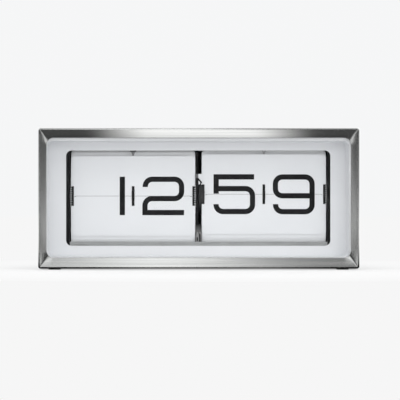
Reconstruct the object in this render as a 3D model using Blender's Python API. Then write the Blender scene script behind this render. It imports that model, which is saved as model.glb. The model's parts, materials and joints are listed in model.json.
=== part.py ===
# A shelf flip clock: a steel case, two split-leaf displays on one shaft, and the drive beside them.
# Metres, +Z up. The front faces -Y, and the origin is under the middle of the clock, where it stands.

import math

import bmesh
import bpy

# Fits
fit_gap = 0.0003             # between pieces that seat on each other
run_gap = 0.0005             # beside pieces that turn
cut_over = 0.001             # how far a cut runs past the face it opens

# Case: a steel sleeve whose front edge turns in to a dished lip
case_side = 0.0108           # from its sides to the white field
case_end = 0.0143            # from its roof and floor to the white field
case_wall = 0.0015
case_corner = 0.003
front_edge = 0.002           # radius of the rounded front edge
lip_side = 0.0095
lip_top = 0.0112
lip_bottom = 0.0126
lip_dish = 0.0025
lip_corner = 0.008
foot_height = 0.001
foot_radius = 0.007
foot_inset = 0.018

# Clear pane behind the lip
pane_thickness = 0.0025

# White tub: side walls back to the fascia, which holds the window
tub_wall = 0.0018
tub_flange = 0.002
tub_draft = 0.0006
fascia_thickness = 0.002
field_side = 0.0189          # from the white field's sides to the window
field_end = 0.0106           # from its top and bottom to the window
field_corner = 0.005
field_shift_x = -0.0012      # the tub sits a little to the left and low
field_shift_z = -0.0005
window_side = 0.005          # from the leaves' outer edges to the window's sides
window_end = 0.0088          # from the leaves' free edges to its top and bottom
window_corner = 0.0064
window_shift_z = 0.0004
fascia_ahead = 0.005         # of its rear face in front of the hinges

# Leaves: every leaf is one stiff sheet, hinged at its inner edge
leaf_width = 0.144
leaf_height = 0.0463
leaf_thickness = 0.0006
leaf_corner = 0.0035
leaf_split = 0.0076          # gap between the hour and the minute leaves
leaf_set_back = 0.0002       # the leaf hangs this far behind its hinge line
seam_half = 0.00015
swing_room = 0.0009          # between a falling leaf and the pane
end_notch_width = 0.0033     # notches that let the wheels through
middle_notch_width = 0.0032
notch_height = 0.0114
next_notch_more = 0.0020     # of the next leaf, where the discs stand out further
leaf_pin_radius = 0.0005
leaf_pin_length = 0.001
leaf_pin_root = 0.002
hour_hinge_rise = -0.001      # how far each standing leaf's hinge is above the axis
minute_hinge_rise = 0.0011

# Drums: hub, slotted wheels and a middle disc, all on the shaft
mechanism_shift = 0.0004
axis_rise = 0.0035           # above the window's middle
pin_circle = 0.021
wheel_radius = 0.0226
wheel_thickness = 0.0034
drum_collar = 0.0031         # the minute drum's inner wheel is this much thicker
groove_half = 0.0008
groove_depth = 0.0013
middle_disc = 0.0024
hub_radius = 0.005
shaft_radius = 0.002
bush_wall = 0.0017

# Frame plates and bars
end_plate = 0.0025
end_plate_room = 0.001       # between end wheel and end plate
plate_top = 0.0118           # below the case's roof
front_flange = 0.0137
rear_flange = 0.0207
flange_thickness = 0.002
bottom_flange = 0.012
bottom_flange_front = 0.012
bottom_flange_length = 0.050
centre_plate = 0.0026
centre_setback = 0.008       # of its front edge behind the fascia
centre_rear_room = 0.0044
bar_clearance = 0.0012       # between the window's edge and the top bar
top_bar_depth = 0.0035
top_bar_height = 0.009
lower_bar_depth = 0.0025
lower_bar_height = 0.0196
lower_bar_show = 0.0047      # how much of the lower bar shows in the window
rod_radius = 0.002
rod_rear_room = 0.0084       # from the rods' axis to the rear cover
upper_rod_drop = 0.0085      # below the plates' top
lower_rod_rise = 0.0404      # above the plates' foot

# Small parts in the gap between the displays
bracket_width = 0.0064
bracket_height = 0.0235
bracket_thickness = 0.0015
bracket_base = 0.0096        # of its foot below the lower bar's top
bracket_slot_width = 0.0018
bracket_slot_height = 0.0036
guide_width = 0.0066
guide_height = 0.0142
guide_thickness = 0.0016
guide_rise = 0.0104          # of its low end above the axis
guide_front = 0.0025         # behind the fascia's rear face
guide_stem_height = 0.005

# Catches that hold the standing leaves
catch_width = 0.007
catch_thickness = 0.0005
catch_tip_width = 0.001
catch_tab_height = 0.007

# Gears
gear_module = 0.0007
gear_pressure = math.radians(20)
gear_addendum_share = 0.75
gear_dedendum_share = 1.15
gear_backlash = 0.00012
gear_width = 0.003
shaft_pinion_teeth = 12
transfer_large_teeth = 48
transfer_small_teeth = 15
hour_gear_teeth = 45
minute_gear_teeth = 60
motor_pinion_teeth = 12
hour_gear_room = 0.0009      # between end plate and hour gear
minute_gear_room = 0.0011
layer_room = 0.0006          # between the two layers of gears
transfer_axle_radius = 0.0015
bridge_thickness = 0.002
bridge_half_width = 0.0055
bridge_room = 0.0009
post_radius = 0.0022
post_reach = 0.0237          # from shaft or axle to the post beyond it

# Setting wheel
thumb_width = 0.006
thumb_over_gear = 0.0061     # of its rim beyond the gear's pitch circle
thumb_stand_out = 0.0025     # of its rim beyond the rear cover
set_axle_radius = 0.002
set_head_radius = 0.0035
set_head = 0.0014
thumb_slot_side = 0.0006
thumb_slot_end = 0.0009
flange_window_room = 0.0014  # around the wheel in the right plate's rear flange

# Motor with its gearbox
gearbox_thickness = 0.012
gearbox_front = 0.0225       # from its front face forward of the shaft's axis
gearbox_room = 0.0014        # between its rear face and the setting wheel
gearbox_top = 0.0118         # above the motor pinion's axis
gearbox_height = 0.044
gearbox_corner = 0.004
gearbox_post_radius = 0.0025
gearbox_post_drop = 0.0248
gearbox_post_reach = 0.012
motor_stub_radius = 0.0015
motor_stub = 0.0025
motor_can_radius = 0.015
motor_can_length = 0.0094
motor_can_drop = 0.0138
motor_can_forward = 0.004
motor_neck_radius = 0.010
motor_neck_share = 0.25

# Rear cover
cover_thickness = 0.0026
cover_recess = 0.003
pack_rear_room = 0.0006      # between the leaves' sweep and the cover
keyhole_inset = 0.0625       # from the case's sides
keyhole_drop = 0.0221        # below the case's roof
keyhole_radius = 0.0045
keyhole_slot_width = 0.0046
keyhole_slot_height = 0.009
screw_side = 0.0166          # from the case's side to the screws
screw_end = 0.0205           # from the case's roof and floor
screw_shank = 0.0014
screw_head = 0.0032
screw_head_height = 0.0016
screw_length = 0.007
case_screw_head_height = 0.0007
case_screw_inset = 0.0245    # from the case's side

# Battery bay
pack_bay_room = 0.0009       # between the leaves and the battery bay
cell_radius = 0.0131
cell_length = 0.0485
cell_nub_radius = 0.0035
cell_nub = 0.0015
holder_wall = 0.001
holder_end_room = 0.0023
contact_thickness = 0.0005
contact_width = 0.008
contact_height = 0.014
spring_reach = 0.0012
door_width = 0.060
door_height = 0.0275
door_floor = 0.0024          # from the case's floor up to the opening
door_thickness = 0.002
door_gap = 0.0004
door_bore = 0.0009
door_pin_radius = 0.0006
door_pin_reach = 0.004

# Facets
corner_steps = 4
small_segments = 12
hub_segments = 24
wheel_segments = 40

# Places that follow from the sizes above
leaf_inner = leaf_split / 2
leaf_outer = leaf_inner + leaf_width
leaf_middle = (leaf_inner + leaf_outer) / 2
leaf_layer = leaf_thickness + fit_gap
tab_half = leaf_width / 2 - end_notch_width
pack_radius = math.hypot(pin_circle, leaf_height)
bay_depth = 2 * (holder_wall + fit_gap + cell_radius) + run_gap
cover_to_axis = max(pack_radius + pack_rear_room, pin_circle + pack_bay_room + bay_depth)
front_to_axis = (lip_dish + case_wall + fit_gap + pane_thickness + leaf_height + swing_room
                 + pin_circle)
window_width = 2 * (leaf_outer + window_side)
window_height = 2 * (leaf_height + window_end)
field_width = window_width + 2 * field_side
field_height = window_height + 2 * field_end
case_width = field_width + 2 * case_side
case_height = field_height + 2 * case_end
case_depth = front_to_axis + cover_to_axis + cover_thickness + cover_recess
front = -case_depth / 2
rear = case_depth / 2
case_floor = foot_height + fit_gap
case_roof = case_floor + case_height
case_middle = (case_floor + case_roof) / 2
floor_inside = case_floor + case_wall
roof_inside = case_roof - case_wall
pane_front = front + lip_dish + case_wall + fit_gap
pane_back = pane_front + pane_thickness
tub_front = pane_back + fit_gap
hinge_y = pane_back + leaf_height + swing_room
axis_y = front + front_to_axis
window_z = case_middle + window_shift_z
window_top = window_z + window_height / 2
window_bottom = window_z - window_height / 2
axis_z = window_z + axis_rise
fascia_back = hinge_y - fascia_ahead
fascia_front = fascia_back - fascia_thickness
field_x = field_shift_x
field_z = case_middle + field_shift_z
wheel_in = leaf_inner + end_notch_width - fit_gap
wheel_out = leaf_outer - end_notch_width + fit_gap
plate_in = wheel_out + wheel_thickness + end_plate_room
plate_out = plate_in + end_plate
plate_front = fascia_back + fit_gap
cover_outer = rear - cover_recess
cover_inner = cover_outer - cover_thickness
plate_rear = cover_inner - fit_gap
plate_low = floor_inside + fit_gap
plate_high = roof_inside - plate_top
centre_high = mechanism_shift + wheel_in - wheel_thickness - drum_collar - run_gap
centre_low = centre_high - centre_plate
leaf_front = hinge_y + leaf_set_back
pack_front = leaf_front + 2 * leaf_layer
wheel_bore = hub_radius + fit_gap
shaft_bore = shaft_radius + fit_gap
bush_radius = wheel_bore + bush_wall
gear_reach = gear_module / 2
transfer_z = axis_z + gear_reach * (shaft_pinion_teeth + transfer_large_teeth)
motor_z = axis_z - gear_reach * (minute_gear_teeth + motor_pinion_teeth)
rim_to_axis = cover_outer + thumb_stand_out - axis_y
set_gear_teeth = round((rim_to_axis - thumb_over_gear) / gear_module - minute_gear_teeth / 2)
set_y = axis_y + gear_reach * (minute_gear_teeth + set_gear_teeth)
thumb_radius = cover_outer + thumb_stand_out - set_y
left_plate_x = mechanism_shift - plate_out
right_plate_x = mechanism_shift + plate_out
hour_gear_x = left_plate_x - hour_gear_room - gear_width
pinion_x = hour_gear_x - layer_room - gear_width
bridge_x = pinion_x - bridge_room - bridge_thickness
minute_gear_x = right_plate_x + minute_gear_room
thumb_x = minute_gear_x + gear_width + fit_gap
gearbox_x = minute_gear_x + gear_width + layer_room
gearbox_depth = gearbox_front + set_y - thumb_radius - gearbox_room - axis_y
keyhole_reach = case_width / 2 - keyhole_inset
battery_x = -leaf_middle
cell_y = cover_inner - fit_gap - holder_wall - run_gap - cell_radius
cell_z = plate_low + holder_wall + fit_gap + cell_radius
door_low = floor_inside + door_floor
door_hinge_y = cover_outer - cover_thickness / 2
door_hinge_z = door_low + door_gap + cover_thickness / 2


# Mesh helpers

def clear_scene():
    for item in list(bpy.data.objects):
        bpy.data.objects.remove(item, do_unlink=True)


def finish(name, colour, roughness, metallic=0.0, alpha=1.0):
    material = bpy.data.materials.new(name)
    material.use_nodes = True
    shader = material.node_tree.nodes["Principled BSDF"]
    shader.inputs["Base Color"].default_value = (*colour, 1.0)
    shader.inputs["Roughness"].default_value = roughness
    shader.inputs["Metallic"].default_value = metallic
    shader.inputs["Alpha"].default_value = alpha
    material.diffuse_color = (*colour, alpha)
    return material


def pivot(name, x, y, z):
    empty = bpy.data.objects.new(name, None)
    bpy.context.collection.objects.link(empty)
    empty.location = (x, y, z)
    return empty


def solid(name, points, faces, material, parent=None):
    mesh = bpy.data.meshes.new(name)
    mesh.from_pydata(points, [], faces)
    shape = bmesh.new()
    shape.from_mesh(mesh)
    bmesh.ops.recalc_face_normals(shape, faces=shape.faces)
    shape.to_mesh(mesh)
    shape.free()
    mesh.shade_smooth()
    mesh.set_sharp_from_angle(angle=math.radians(30))
    piece = bpy.data.objects.new(name, mesh)
    bpy.context.collection.objects.link(piece)
    piece.parent = parent
    if material:
        mesh.materials.append(material)
    return piece


def spread(axis, along, across, up):
    # The outline of an X prism is drawn in Y and Z, of a Y prism in X and Z, of a Z prism in X and Y.
    if axis == "x":
        return (along, across, up)
    if axis == "y":
        return (across, along, up)
    return (across, up, along)


def prism(name, outline, axis, low, high, material=None, parent=None):
    count = len(outline)
    points = [spread(axis, low, a, b) for a, b in outline]
    points += [spread(axis, high, a, b) for a, b in outline]
    faces = [tuple(range(count)), tuple(range(2 * count - 1, count - 1, -1))]
    for i in range(count):
        j = (i + 1) % count
        faces.append((i, j, count + j, count + i))
    return solid(name, points, faces, material, parent)


def block(name, low, high, material=None, parent=None):
    outline = [(low[0], low[2]), (high[0], low[2]), (high[0], high[2]), (low[0], high[2])]
    return prism(name, outline, "y", low[1], high[1], material, parent)


def turned(name, profile, axis, segments, material=None, parent=None, centre=(0, 0)):
    # The profile is (along, radius). A radius of zero closes an end; a profile with a bore closes on itself.
    points = []
    rings = []
    for along, radius in profile:
        start = len(points)
        steps = segments if radius > 0 else 1
        for k in range(steps):
            angle = 2 * math.pi * k / segments
            across = centre[0] + radius * math.cos(angle)
            up = centre[1] + radius * math.sin(angle)
            points.append(spread(axis, along, across, up))
        rings.append([start + k % steps for k in range(segments)])
    faces = []
    for ring, following in zip(rings, rings[1:] + rings[:1]):
        for k in range(segments):
            n = (k + 1) % segments
            corners = [ring[k], ring[n], following[n], following[k]]
            corners = [c for i, c in enumerate(corners) if c not in corners[:i]]
            if len(corners) > 2:
                faces.append(corners)
    return solid(name, points, faces, material, parent)


def rod(name, axis, low, high, radius, segments, material=None, parent=None, centre=(0, 0)):
    return turned(name, [(low, 0), (low, radius), (high, radius), (high, 0)], axis, segments,
                  material, parent, centre)


def tube(name, axis, low, high, bore, radius, segments, material=None, parent=None, centre=(0, 0)):
    profile = [(low, bore), (low, radius), (high, radius), (high, bore)]
    return turned(name, profile, axis, segments, material, parent, centre)


def arc(centre_a, centre_b, radius, start, end, steps):
    turns = [math.radians(start + (end - start) * k / steps) for k in range(steps + 1)]
    return [(centre_a + radius * math.cos(t), centre_b + radius * math.sin(t)) for t in turns]


def rounded(low_a, low_b, high_a, high_b, radius, steps=corner_steps):
    points = arc(high_a - radius, high_b - radius, radius, 0, 90, steps)
    points += arc(low_a + radius, high_b - radius, radius, 90, 180, steps)
    points += arc(low_a + radius, low_b + radius, radius, 180, 270, steps)
    points += arc(high_a - radius, low_b + radius, radius, 270, 360, steps)
    return points


def ring_solid(name, rings, material):
    count = len(rings[0])
    points = [point for ring in rings for point in ring]
    faces = []
    for i in range(len(rings)):
        j = (i + 1) % len(rings)
        for k in range(count):
            n = (k + 1) % count
            faces.append((i * count + k, i * count + n, j * count + n, j * count + k))
    return solid(name, points, faces, material)


def combine(piece, tool, operation):
    tool.hide_render = True
    tool.display_type = "WIRE"
    step = piece.modifiers.new(operation.title(), "BOOLEAN")
    step.operation = operation
    step.object = tool
    return piece


def cut(piece, tool):
    return combine(piece, tool, "DIFFERENCE")


def join(piece, tool):
    return combine(piece, tool, "UNION")


# Case

def case_ring(y, side, top, bottom, radius):
    half = case_width / 2 - side
    outline = rounded(-half, case_floor + bottom, half, case_roof - top, radius)
    return [(a, y, b) for a, b in outline]


def even_ring(y, inset, radius):
    return case_ring(y, inset, inset, inset, radius)


def make_case():
    steel = finish("brushed_steel", (0.62, 0.62, 0.61), 0.3, 1.0)
    inner_corner = case_corner - case_wall
    turn = front_edge * (1 - math.sqrt(0.5))
    lip = (lip_side, lip_top, lip_bottom, lip_corner)
    rings = [
        even_ring(rear, 0, case_corner),
        even_ring(front + front_edge, 0, case_corner),
        even_ring(front + turn, turn, case_corner - turn),
        even_ring(front, front_edge, case_corner - turn),
        case_ring(front + lip_dish, *lip),
        case_ring(front + lip_dish + case_wall, *lip),
        even_ring(front + front_edge, case_wall + turn, inner_corner),
        even_ring(front + front_edge + case_wall, case_wall, inner_corner),
        even_ring(rear, case_wall, inner_corner),
    ]
    shell = ring_solid("case_shell", rings, steel)
    for side in (-1, 1):
        x = side * (case_width / 2 - case_screw_inset)
        hole = rod("case_screw_hole", "z", case_floor - cut_over, floor_inside + cut_over,
                   screw_shank + fit_gap, small_segments, centre=(x, case_screw_y()))
        cut(shell, hole)


def case_screw_y():
    return plate_front + bottom_flange_front + bottom_flange_length / 2


def make_pane():
    clear = finish("clear_pane", (0.9, 0.92, 0.92), 0.03, alpha=0.2)
    inset = case_wall + fit_gap
    outline = [(x, z) for x, y, z in even_ring(0, inset, case_corner - inset)]
    prism("front_pane", outline, "y", pane_front, pane_back, clear)


def tub_ring(y, grow, radius):
    half = field_width / 2 + grow
    rise = field_height / 2 + grow
    outline = rounded(field_x - half, field_z - rise, field_x + half, field_z + rise, radius)
    return [(a, y, b) for a, b in outline]


def window_ring(y):
    half = window_width / 2
    outline = rounded(-half, window_bottom, half, window_top, window_corner)
    return [(a, y, b) for a, b in outline]


def make_tub():
    white = finish("white_plastic", (0.80, 0.82, 0.80), 0.45)
    inset = case_wall + fit_gap
    outside = tub_draft + tub_wall
    rings = [
        even_ring(tub_front, inset, case_corner - inset),
        even_ring(tub_front + tub_flange, inset, case_corner - inset),
        tub_ring(tub_front + tub_flange, outside, field_corner + outside),
        tub_ring(fascia_back, tub_wall, field_corner + tub_wall),
        window_ring(fascia_back),
        window_ring(fascia_front),
        tub_ring(fascia_front, 0, field_corner),
        tub_ring(tub_front, tub_draft, field_corner + tub_draft),
    ]
    ring_solid("fascia_tub", rings, white)


def make_feet():
    rubber = finish("pale_rubber", (0.6, 0.6, 0.58), 0.7)
    for index in range(4):
        x = (case_width / 2 - foot_inset) * (-1 if index % 2 else 1)
        y = (case_depth / 2 - foot_inset) * (-1 if index < 2 else 1)
        rod(f"foot_{index + 1}", "z", 0, foot_height, foot_radius, hub_segments, rubber, centre=(x, y))


# Rear cover with its door

def cover_screw_places():
    x = case_width / 2 - screw_side
    low = case_floor + screw_end
    high = case_roof - screw_end
    return [(-x, low), (x, low), (-x, high), (x, high)]


def make_rear_cover(black):
    inset = case_wall + fit_gap
    outline = [(x, z) for x, y, z in even_ring(0, inset, case_corner - inset)]
    cover = prism("rear_cover", outline, "y", cover_inner, cover_outer, black)
    low = cover_inner - cut_over
    high = cover_outer + cut_over
    for x, z in cover_screw_places():
        cut(cover, rod("cover_screw_hole", "y", low, high, screw_shank + fit_gap,
                       small_segments, centre=(x, z)))
    for side in (-1, 1):
        cut(cover, prism("keyhole", keyhole_outline(side * keyhole_reach), "y", low, high))
    door_half = door_width / 2
    cut(cover, block("door_opening", (battery_x - door_half, low, door_low),
                     (battery_x + door_half, high, door_low + door_height)))
    pin_half = door_half + door_pin_reach + fit_gap
    cut(cover, rod("door_pin_hole", "x", battery_x - pin_half, battery_x + pin_half, door_bore,
                   small_segments, centre=(door_hinge_y, door_hinge_z)))
    chord = math.sqrt(thumb_radius ** 2 - (cover_inner - set_y) ** 2) + thumb_slot_end
    cut(cover, block("thumb_slot", (thumb_x - thumb_slot_side, low, axis_z - chord),
                     (thumb_x + thumb_width + thumb_slot_side, high, axis_z + chord)))


def keyhole_outline(x):
    # A round hole for a screw's head, with a slot above it for the shank.
    z = case_roof - keyhole_drop
    half = keyhole_slot_width / 2
    meet = math.degrees(math.asin(half / keyhole_radius))
    points = arc(x, z, keyhole_radius, 90 + meet, 450 - meet, 3 * corner_steps)
    points += arc(x, z + keyhole_slot_height - half, half, 0, 180, corner_steps)
    return points


def make_battery_door(black, steel):
    hinge = pivot("battery_door_hinge", battery_x, door_hinge_y, door_hinge_z)
    barrel = cover_thickness / 2
    half = door_thickness / 2
    meet = math.degrees(math.asin(half / barrel))
    top = door_low + door_height - door_gap - door_hinge_z
    outline = arc(0, 0, barrel, 90 + meet, 450 - meet, 3 * corner_steps)
    outline += [(half, top), (-half, top)]
    reach = door_width / 2 - door_gap
    door = prism("battery_door", outline, "x", -reach, reach, black, hinge)
    cut(door, rod("door_bore", "x", -reach - cut_over, reach + cut_over, door_bore,
                  small_segments, parent=hinge))
    reach = door_width / 2 + door_pin_reach
    rod("door_pin", "x", battery_x - reach, battery_x + reach, door_pin_radius, small_segments,
        steel, centre=(door_hinge_y, door_hinge_z))


def screw(name, axis, seat, direction, head_height, length, material, centre):
    # The head stands outward from its seat, and the shank runs inward.
    head = seat + direction * (fit_gap + head_height)
    under = seat + direction * fit_gap
    profile = [(head, 0), (head, screw_head), (under, screw_head), (under, screw_shank),
               (seat - direction * length, screw_shank), (seat - direction * length, 0)]
    turned(name, profile, axis, small_segments, material, centre=centre)


def make_case_fasteners(steel):
    for index, place in enumerate(cover_screw_places()):
        screw(f"rear_screw_{index + 1}", "y", cover_outer, 1, screw_head_height, screw_length,
              steel, place)
    for side, name in ((-1, "case_screw_left"), (1, "case_screw_right")):
        place = (side * (case_width / 2 - case_screw_inset), case_screw_y())
        screw(name, "z", case_floor, -1, case_screw_head_height, screw_length, steel, place)


# Frame

def make_end_plate(name, side, material):
    inner = mechanism_shift + side * plate_in
    outer = mechanism_shift + side * plate_out
    front_edge_x = outer + side * front_flange
    rear_edge_x = outer + side * rear_flange
    outline = [(inner, plate_front), (inner, plate_rear), (rear_edge_x, plate_rear),
               (rear_edge_x, plate_rear - flange_thickness), (outer, plate_rear - flange_thickness),
               (outer, plate_front + flange_thickness), (front_edge_x, plate_front + flange_thickness),
               (front_edge_x, plate_front)]
    plate = prism(name, outline, "z", plate_low, plate_high, material)
    foot_y = plate_front + bottom_flange_front
    foot_x = outer + side * bottom_flange
    foot_in = inner + side * fit_gap
    foot = block(name + "_foot", (min(foot_in, foot_x), foot_y, plate_low),
                 (max(foot_in, foot_x), foot_y + bottom_flange_length, plate_low + flange_thickness))
    join(plate, foot)
    low = min(inner, outer) - cut_over
    high = max(inner, outer) + cut_over
    cut(plate, rod(name + "_bush_hole", "x", low, high, bush_radius + fit_gap, hub_segments,
                   centre=(axis_y, axis_z)))
    for x, z in cover_screw_places():
        if x * side > 0:
            cut(plate, rod(name + "_screw_hole", "y", plate_rear - flange_thickness - cut_over,
                           plate_rear + cut_over, screw_shank + fit_gap, small_segments,
                           centre=(x, z)))
    x = side * (case_width / 2 - case_screw_inset)
    cut(plate, rod(name + "_foot_hole", "z", plate_low - cut_over,
                   plate_low + flange_thickness + cut_over, screw_shank + fit_gap,
                   small_segments, centre=(x, case_screw_y())))
    return plate


def make_frame(black, pale, steel):
    make_end_plate("left_end_plate", -1, black)
    right = make_end_plate("right_end_plate", 1, black)
    window_reach = thumb_radius + flange_window_room
    cut(right, block("set_wheel_window", (right_plate_x + fit_gap, plate_rear - 2 * flange_thickness,
                                          axis_z - window_reach),
                     (right_plate_x + rear_flange + cut_over, plate_rear + cut_over,
                      axis_z + window_reach)))
    bar_left = mechanism_shift - plate_in + fit_gap
    bar_right = mechanism_shift + plate_in - fit_gap
    top_bar_low = window_top + bar_clearance
    top_bar_back = plate_front + top_bar_depth
    block("top_crossbar", (bar_left, plate_front, top_bar_low),
          (bar_right, top_bar_back, top_bar_low + top_bar_height), black)
    lower_bar_top = window_bottom + lower_bar_show
    lower_bar_back = plate_front + lower_bar_depth
    block("lower_crossbar", (bar_left, plate_front, lower_bar_top - lower_bar_height),
          (bar_right, lower_bar_back, lower_bar_top), pale)
    for name, place in zip(("tie_rod_upper", "tie_rod_lower"), tie_rod_places()):
        rod(name, "x", bar_left, bar_right, rod_radius, small_segments, steel, centre=place)
    make_centre_plate(black, top_bar_low, top_bar_back, lower_bar_top, lower_bar_back)
    make_bracket(pale, lower_bar_top, lower_bar_back)
    make_guide(pale)


def tie_rod_places():
    y = cover_inner - rod_rear_room
    return [(y, plate_high - upper_rod_drop), (y, plate_low + lower_rod_rise)]


def make_centre_plate(black, top_bar_low, top_bar_back, lower_bar_top, lower_bar_back):
    top = top_bar_low + top_bar_height
    front_y = fascia_back + centre_setback
    low_front = lower_bar_back + fit_gap + bracket_thickness + fit_gap
    back = cover_inner - centre_rear_room
    slope = front_y - low_front
    outline = [(top_bar_back + fit_gap, top), (back, top), (back, plate_low), (low_front, plate_low),
               (low_front, lower_bar_top), (front_y, lower_bar_top + slope),
               (front_y, top_bar_low - slope), (top_bar_back + fit_gap, top_bar_low)]
    plate = prism("centre_plate", outline, "x", centre_low, centre_high, black)
    bush = shaft_bore + bush_wall
    cut(plate, rod("centre_bush_hole", "x", centre_low - cut_over, centre_high + cut_over,
                   bush + fit_gap, hub_segments, centre=(axis_y, axis_z)))
    for y, z in tie_rod_places():
        cut(plate, rod("tie_rod_hole", "x", centre_low - cut_over, centre_high + cut_over,
                       rod_radius + fit_gap, small_segments, centre=(y, z)))


def make_bracket(pale, lower_bar_top, lower_bar_back):
    half = bracket_width / 2
    low = lower_bar_top - bracket_base
    high = low + bracket_height
    left = mechanism_shift - half
    right = mechanism_shift + half
    outline = [(left, low), (right, low)]
    outline += arc(mechanism_shift, high - half, half, 0, 180, 2 * corner_steps)
    y = lower_bar_back + fit_gap
    bracket = prism("centre_bracket", outline, "y", y, y + bracket_thickness, pale)
    slot_x = left + bracket_slot_width
    slot_z = high - half - bracket_slot_height
    cut(bracket, block("bracket_slot", (slot_x, y - cut_over, slot_z),
                       (slot_x + bracket_slot_width, y + bracket_thickness + cut_over,
                        slot_z + bracket_slot_height)))


guide_shares = [(0, 1), (0.4, 1), (0.5, 0.7), (1, 0.28), (1, 0), (0.7, 0), (0.63, 0.2),
                (0.28, 0.58), (0, 0.62)]


def make_guide(pale):
    left = mechanism_shift - guide_width / 2
    low = axis_z + guide_rise
    y = fascia_back + guide_front
    outline = [(left + a * guide_width, low + b * guide_height) for a, b in guide_shares]
    guide = prism("leaf_guide", outline, "y", y, y + guide_thickness, pale)
    top = low + guide_height
    stem = block("guide_stem", (centre_low, y + guide_thickness / 2, top - guide_stem_height),
                 (centre_low + centre_plate / 2, fascia_back + centre_setback - fit_gap,
                  top - fit_gap))
    join(guide, stem)


# Displays

def leaf_outline(way, notch=notch_height):
    # Drawn about the hinge line's middle; way is 1 for a leaf that stands and -1 for one that hangs.
    # A leaf that hangs is cut back at its top corners, clear of the pins of the leaf in front.
    half = leaf_width / 2
    middle = middle_notch_width / 2
    inner = tab_half - (leaf_pin_root + fit_gap if way < 0 else 0)
    corner = leaf_pin_radius + fit_gap if way < 0 else seam_half
    points = [(-inner, seam_half), (-middle, seam_half), (-middle, notch),
              (middle, notch), (middle, seam_half), (inner, seam_half)]
    if way < 0:
        points += [(inner, corner), (tab_half, corner)]
    points += [(tab_half, notch), (half, notch)]
    points += arc(half - leaf_corner, leaf_height - leaf_corner, leaf_corner, 0, 90, corner_steps)
    points += arc(leaf_corner - half, leaf_height - leaf_corner, leaf_corner, 90, 180, corner_steps)
    points += [(-half, notch), (-tab_half, notch)]
    if way < 0:
        points += [(-tab_half, corner), (-inner, corner)]
    return [(a, way * b) for a, b in points]


def place_outline(outline, x, z):
    return [(x + a, z + b) for a, b in outline]


def pack_outline():
    # Behind the front leaves the others lean back over the wheels, and hang below them.
    shift = pack_front - axis_y
    bore = wheel_radius + run_gap
    top = math.degrees(math.acos(shift / pack_radius))
    turn = math.degrees(math.atan2(leaf_height, pin_circle))
    low = math.degrees(math.acos(-shift / pin_circle))
    inside = math.degrees(math.acos(-shift / bore))
    points = arc(0, 0, pack_radius, top, -turn, 5 * corner_steps)
    points += arc(0, -leaf_height, pin_circle, 0, low - 180, 2 * corner_steps)[1:]
    points += arc(0, 0, bore, inside - 180, 180 - inside, 7 * corner_steps)
    return [(axis_y + a, axis_z + b) for a, b in points]


def make_display(name, side, rise, white, steel):
    x = mechanism_shift + side * leaf_middle
    z = axis_z + rise
    hinge = pivot(name + "_flip_hinge", x, hinge_y, z)
    back = leaf_set_back + leaf_thickness
    leaf = prism(name + "_flip_leaf", leaf_outline(1), "y", leaf_set_back, back, white, hinge)
    for end in (-1, 1):
        root = end * (tab_half - leaf_pin_root)
        tip = end * (tab_half + leaf_pin_length)
        join(leaf, rod(name + "_leaf_pin", "x", min(root, tip), max(root, tip), leaf_pin_radius,
                       small_segments, parent=hinge))
    y = leaf_front + leaf_layer
    behind = leaf_outline(1, notch_height + next_notch_more)
    prism(name + "_next_leaf", place_outline(behind, x, z), "y", y, y + leaf_thickness, white)
    prism(name + "_lower_leaf", place_outline(leaf_outline(-1), x, z), "y", leaf_front,
          leaf_front + leaf_thickness, white)
    half = leaf_width / 2
    prism(name + "_leaf_pack", pack_outline(), "x", x - half, x + half, white)
    make_catch(name, x, z + leaf_height + fit_gap, steel)


def make_catch(name, x, low, steel):
    y = plate_front + top_bar_depth + fit_gap
    half = catch_width / 2
    tip = catch_tip_width / 2
    bend = window_top + bar_clearance
    top = bend + catch_tab_height
    outline = [(x - tip, low), (x + tip, low), (x + half, window_top), (x + half, top),
               (x - half, top), (x - half, window_top)]
    prism(name + "_catch", outline, "y", y, y + catch_thickness, steel)


def make_wheel(name, inner, outward, thickness, black, drum):
    # The annular groove in the inner face takes the leaves' pins.
    outer = inner + outward * thickness
    floor = inner + outward * groove_depth
    profile = [(inner, wheel_bore), (inner, pin_circle - groove_half), (floor, pin_circle - groove_half),
               (floor, pin_circle + groove_half), (inner, pin_circle + groove_half),
               (inner, wheel_radius), (outer, wheel_radius), (outer, wheel_bore)]
    turned(name, profile, "x", wheel_segments, black, drum)


def make_hub(name, low, high, disc_x, black, drum):
    disc_low = disc_x - middle_disc / 2
    disc_high = disc_x + middle_disc / 2
    profile = [(low, shaft_bore), (low, hub_radius), (disc_low, hub_radius), (disc_low, wheel_radius),
               (disc_high, wheel_radius), (disc_high, hub_radius), (high, hub_radius), (high, shaft_bore)]
    turned(name, profile, "x", wheel_segments, black, drum)


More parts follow.
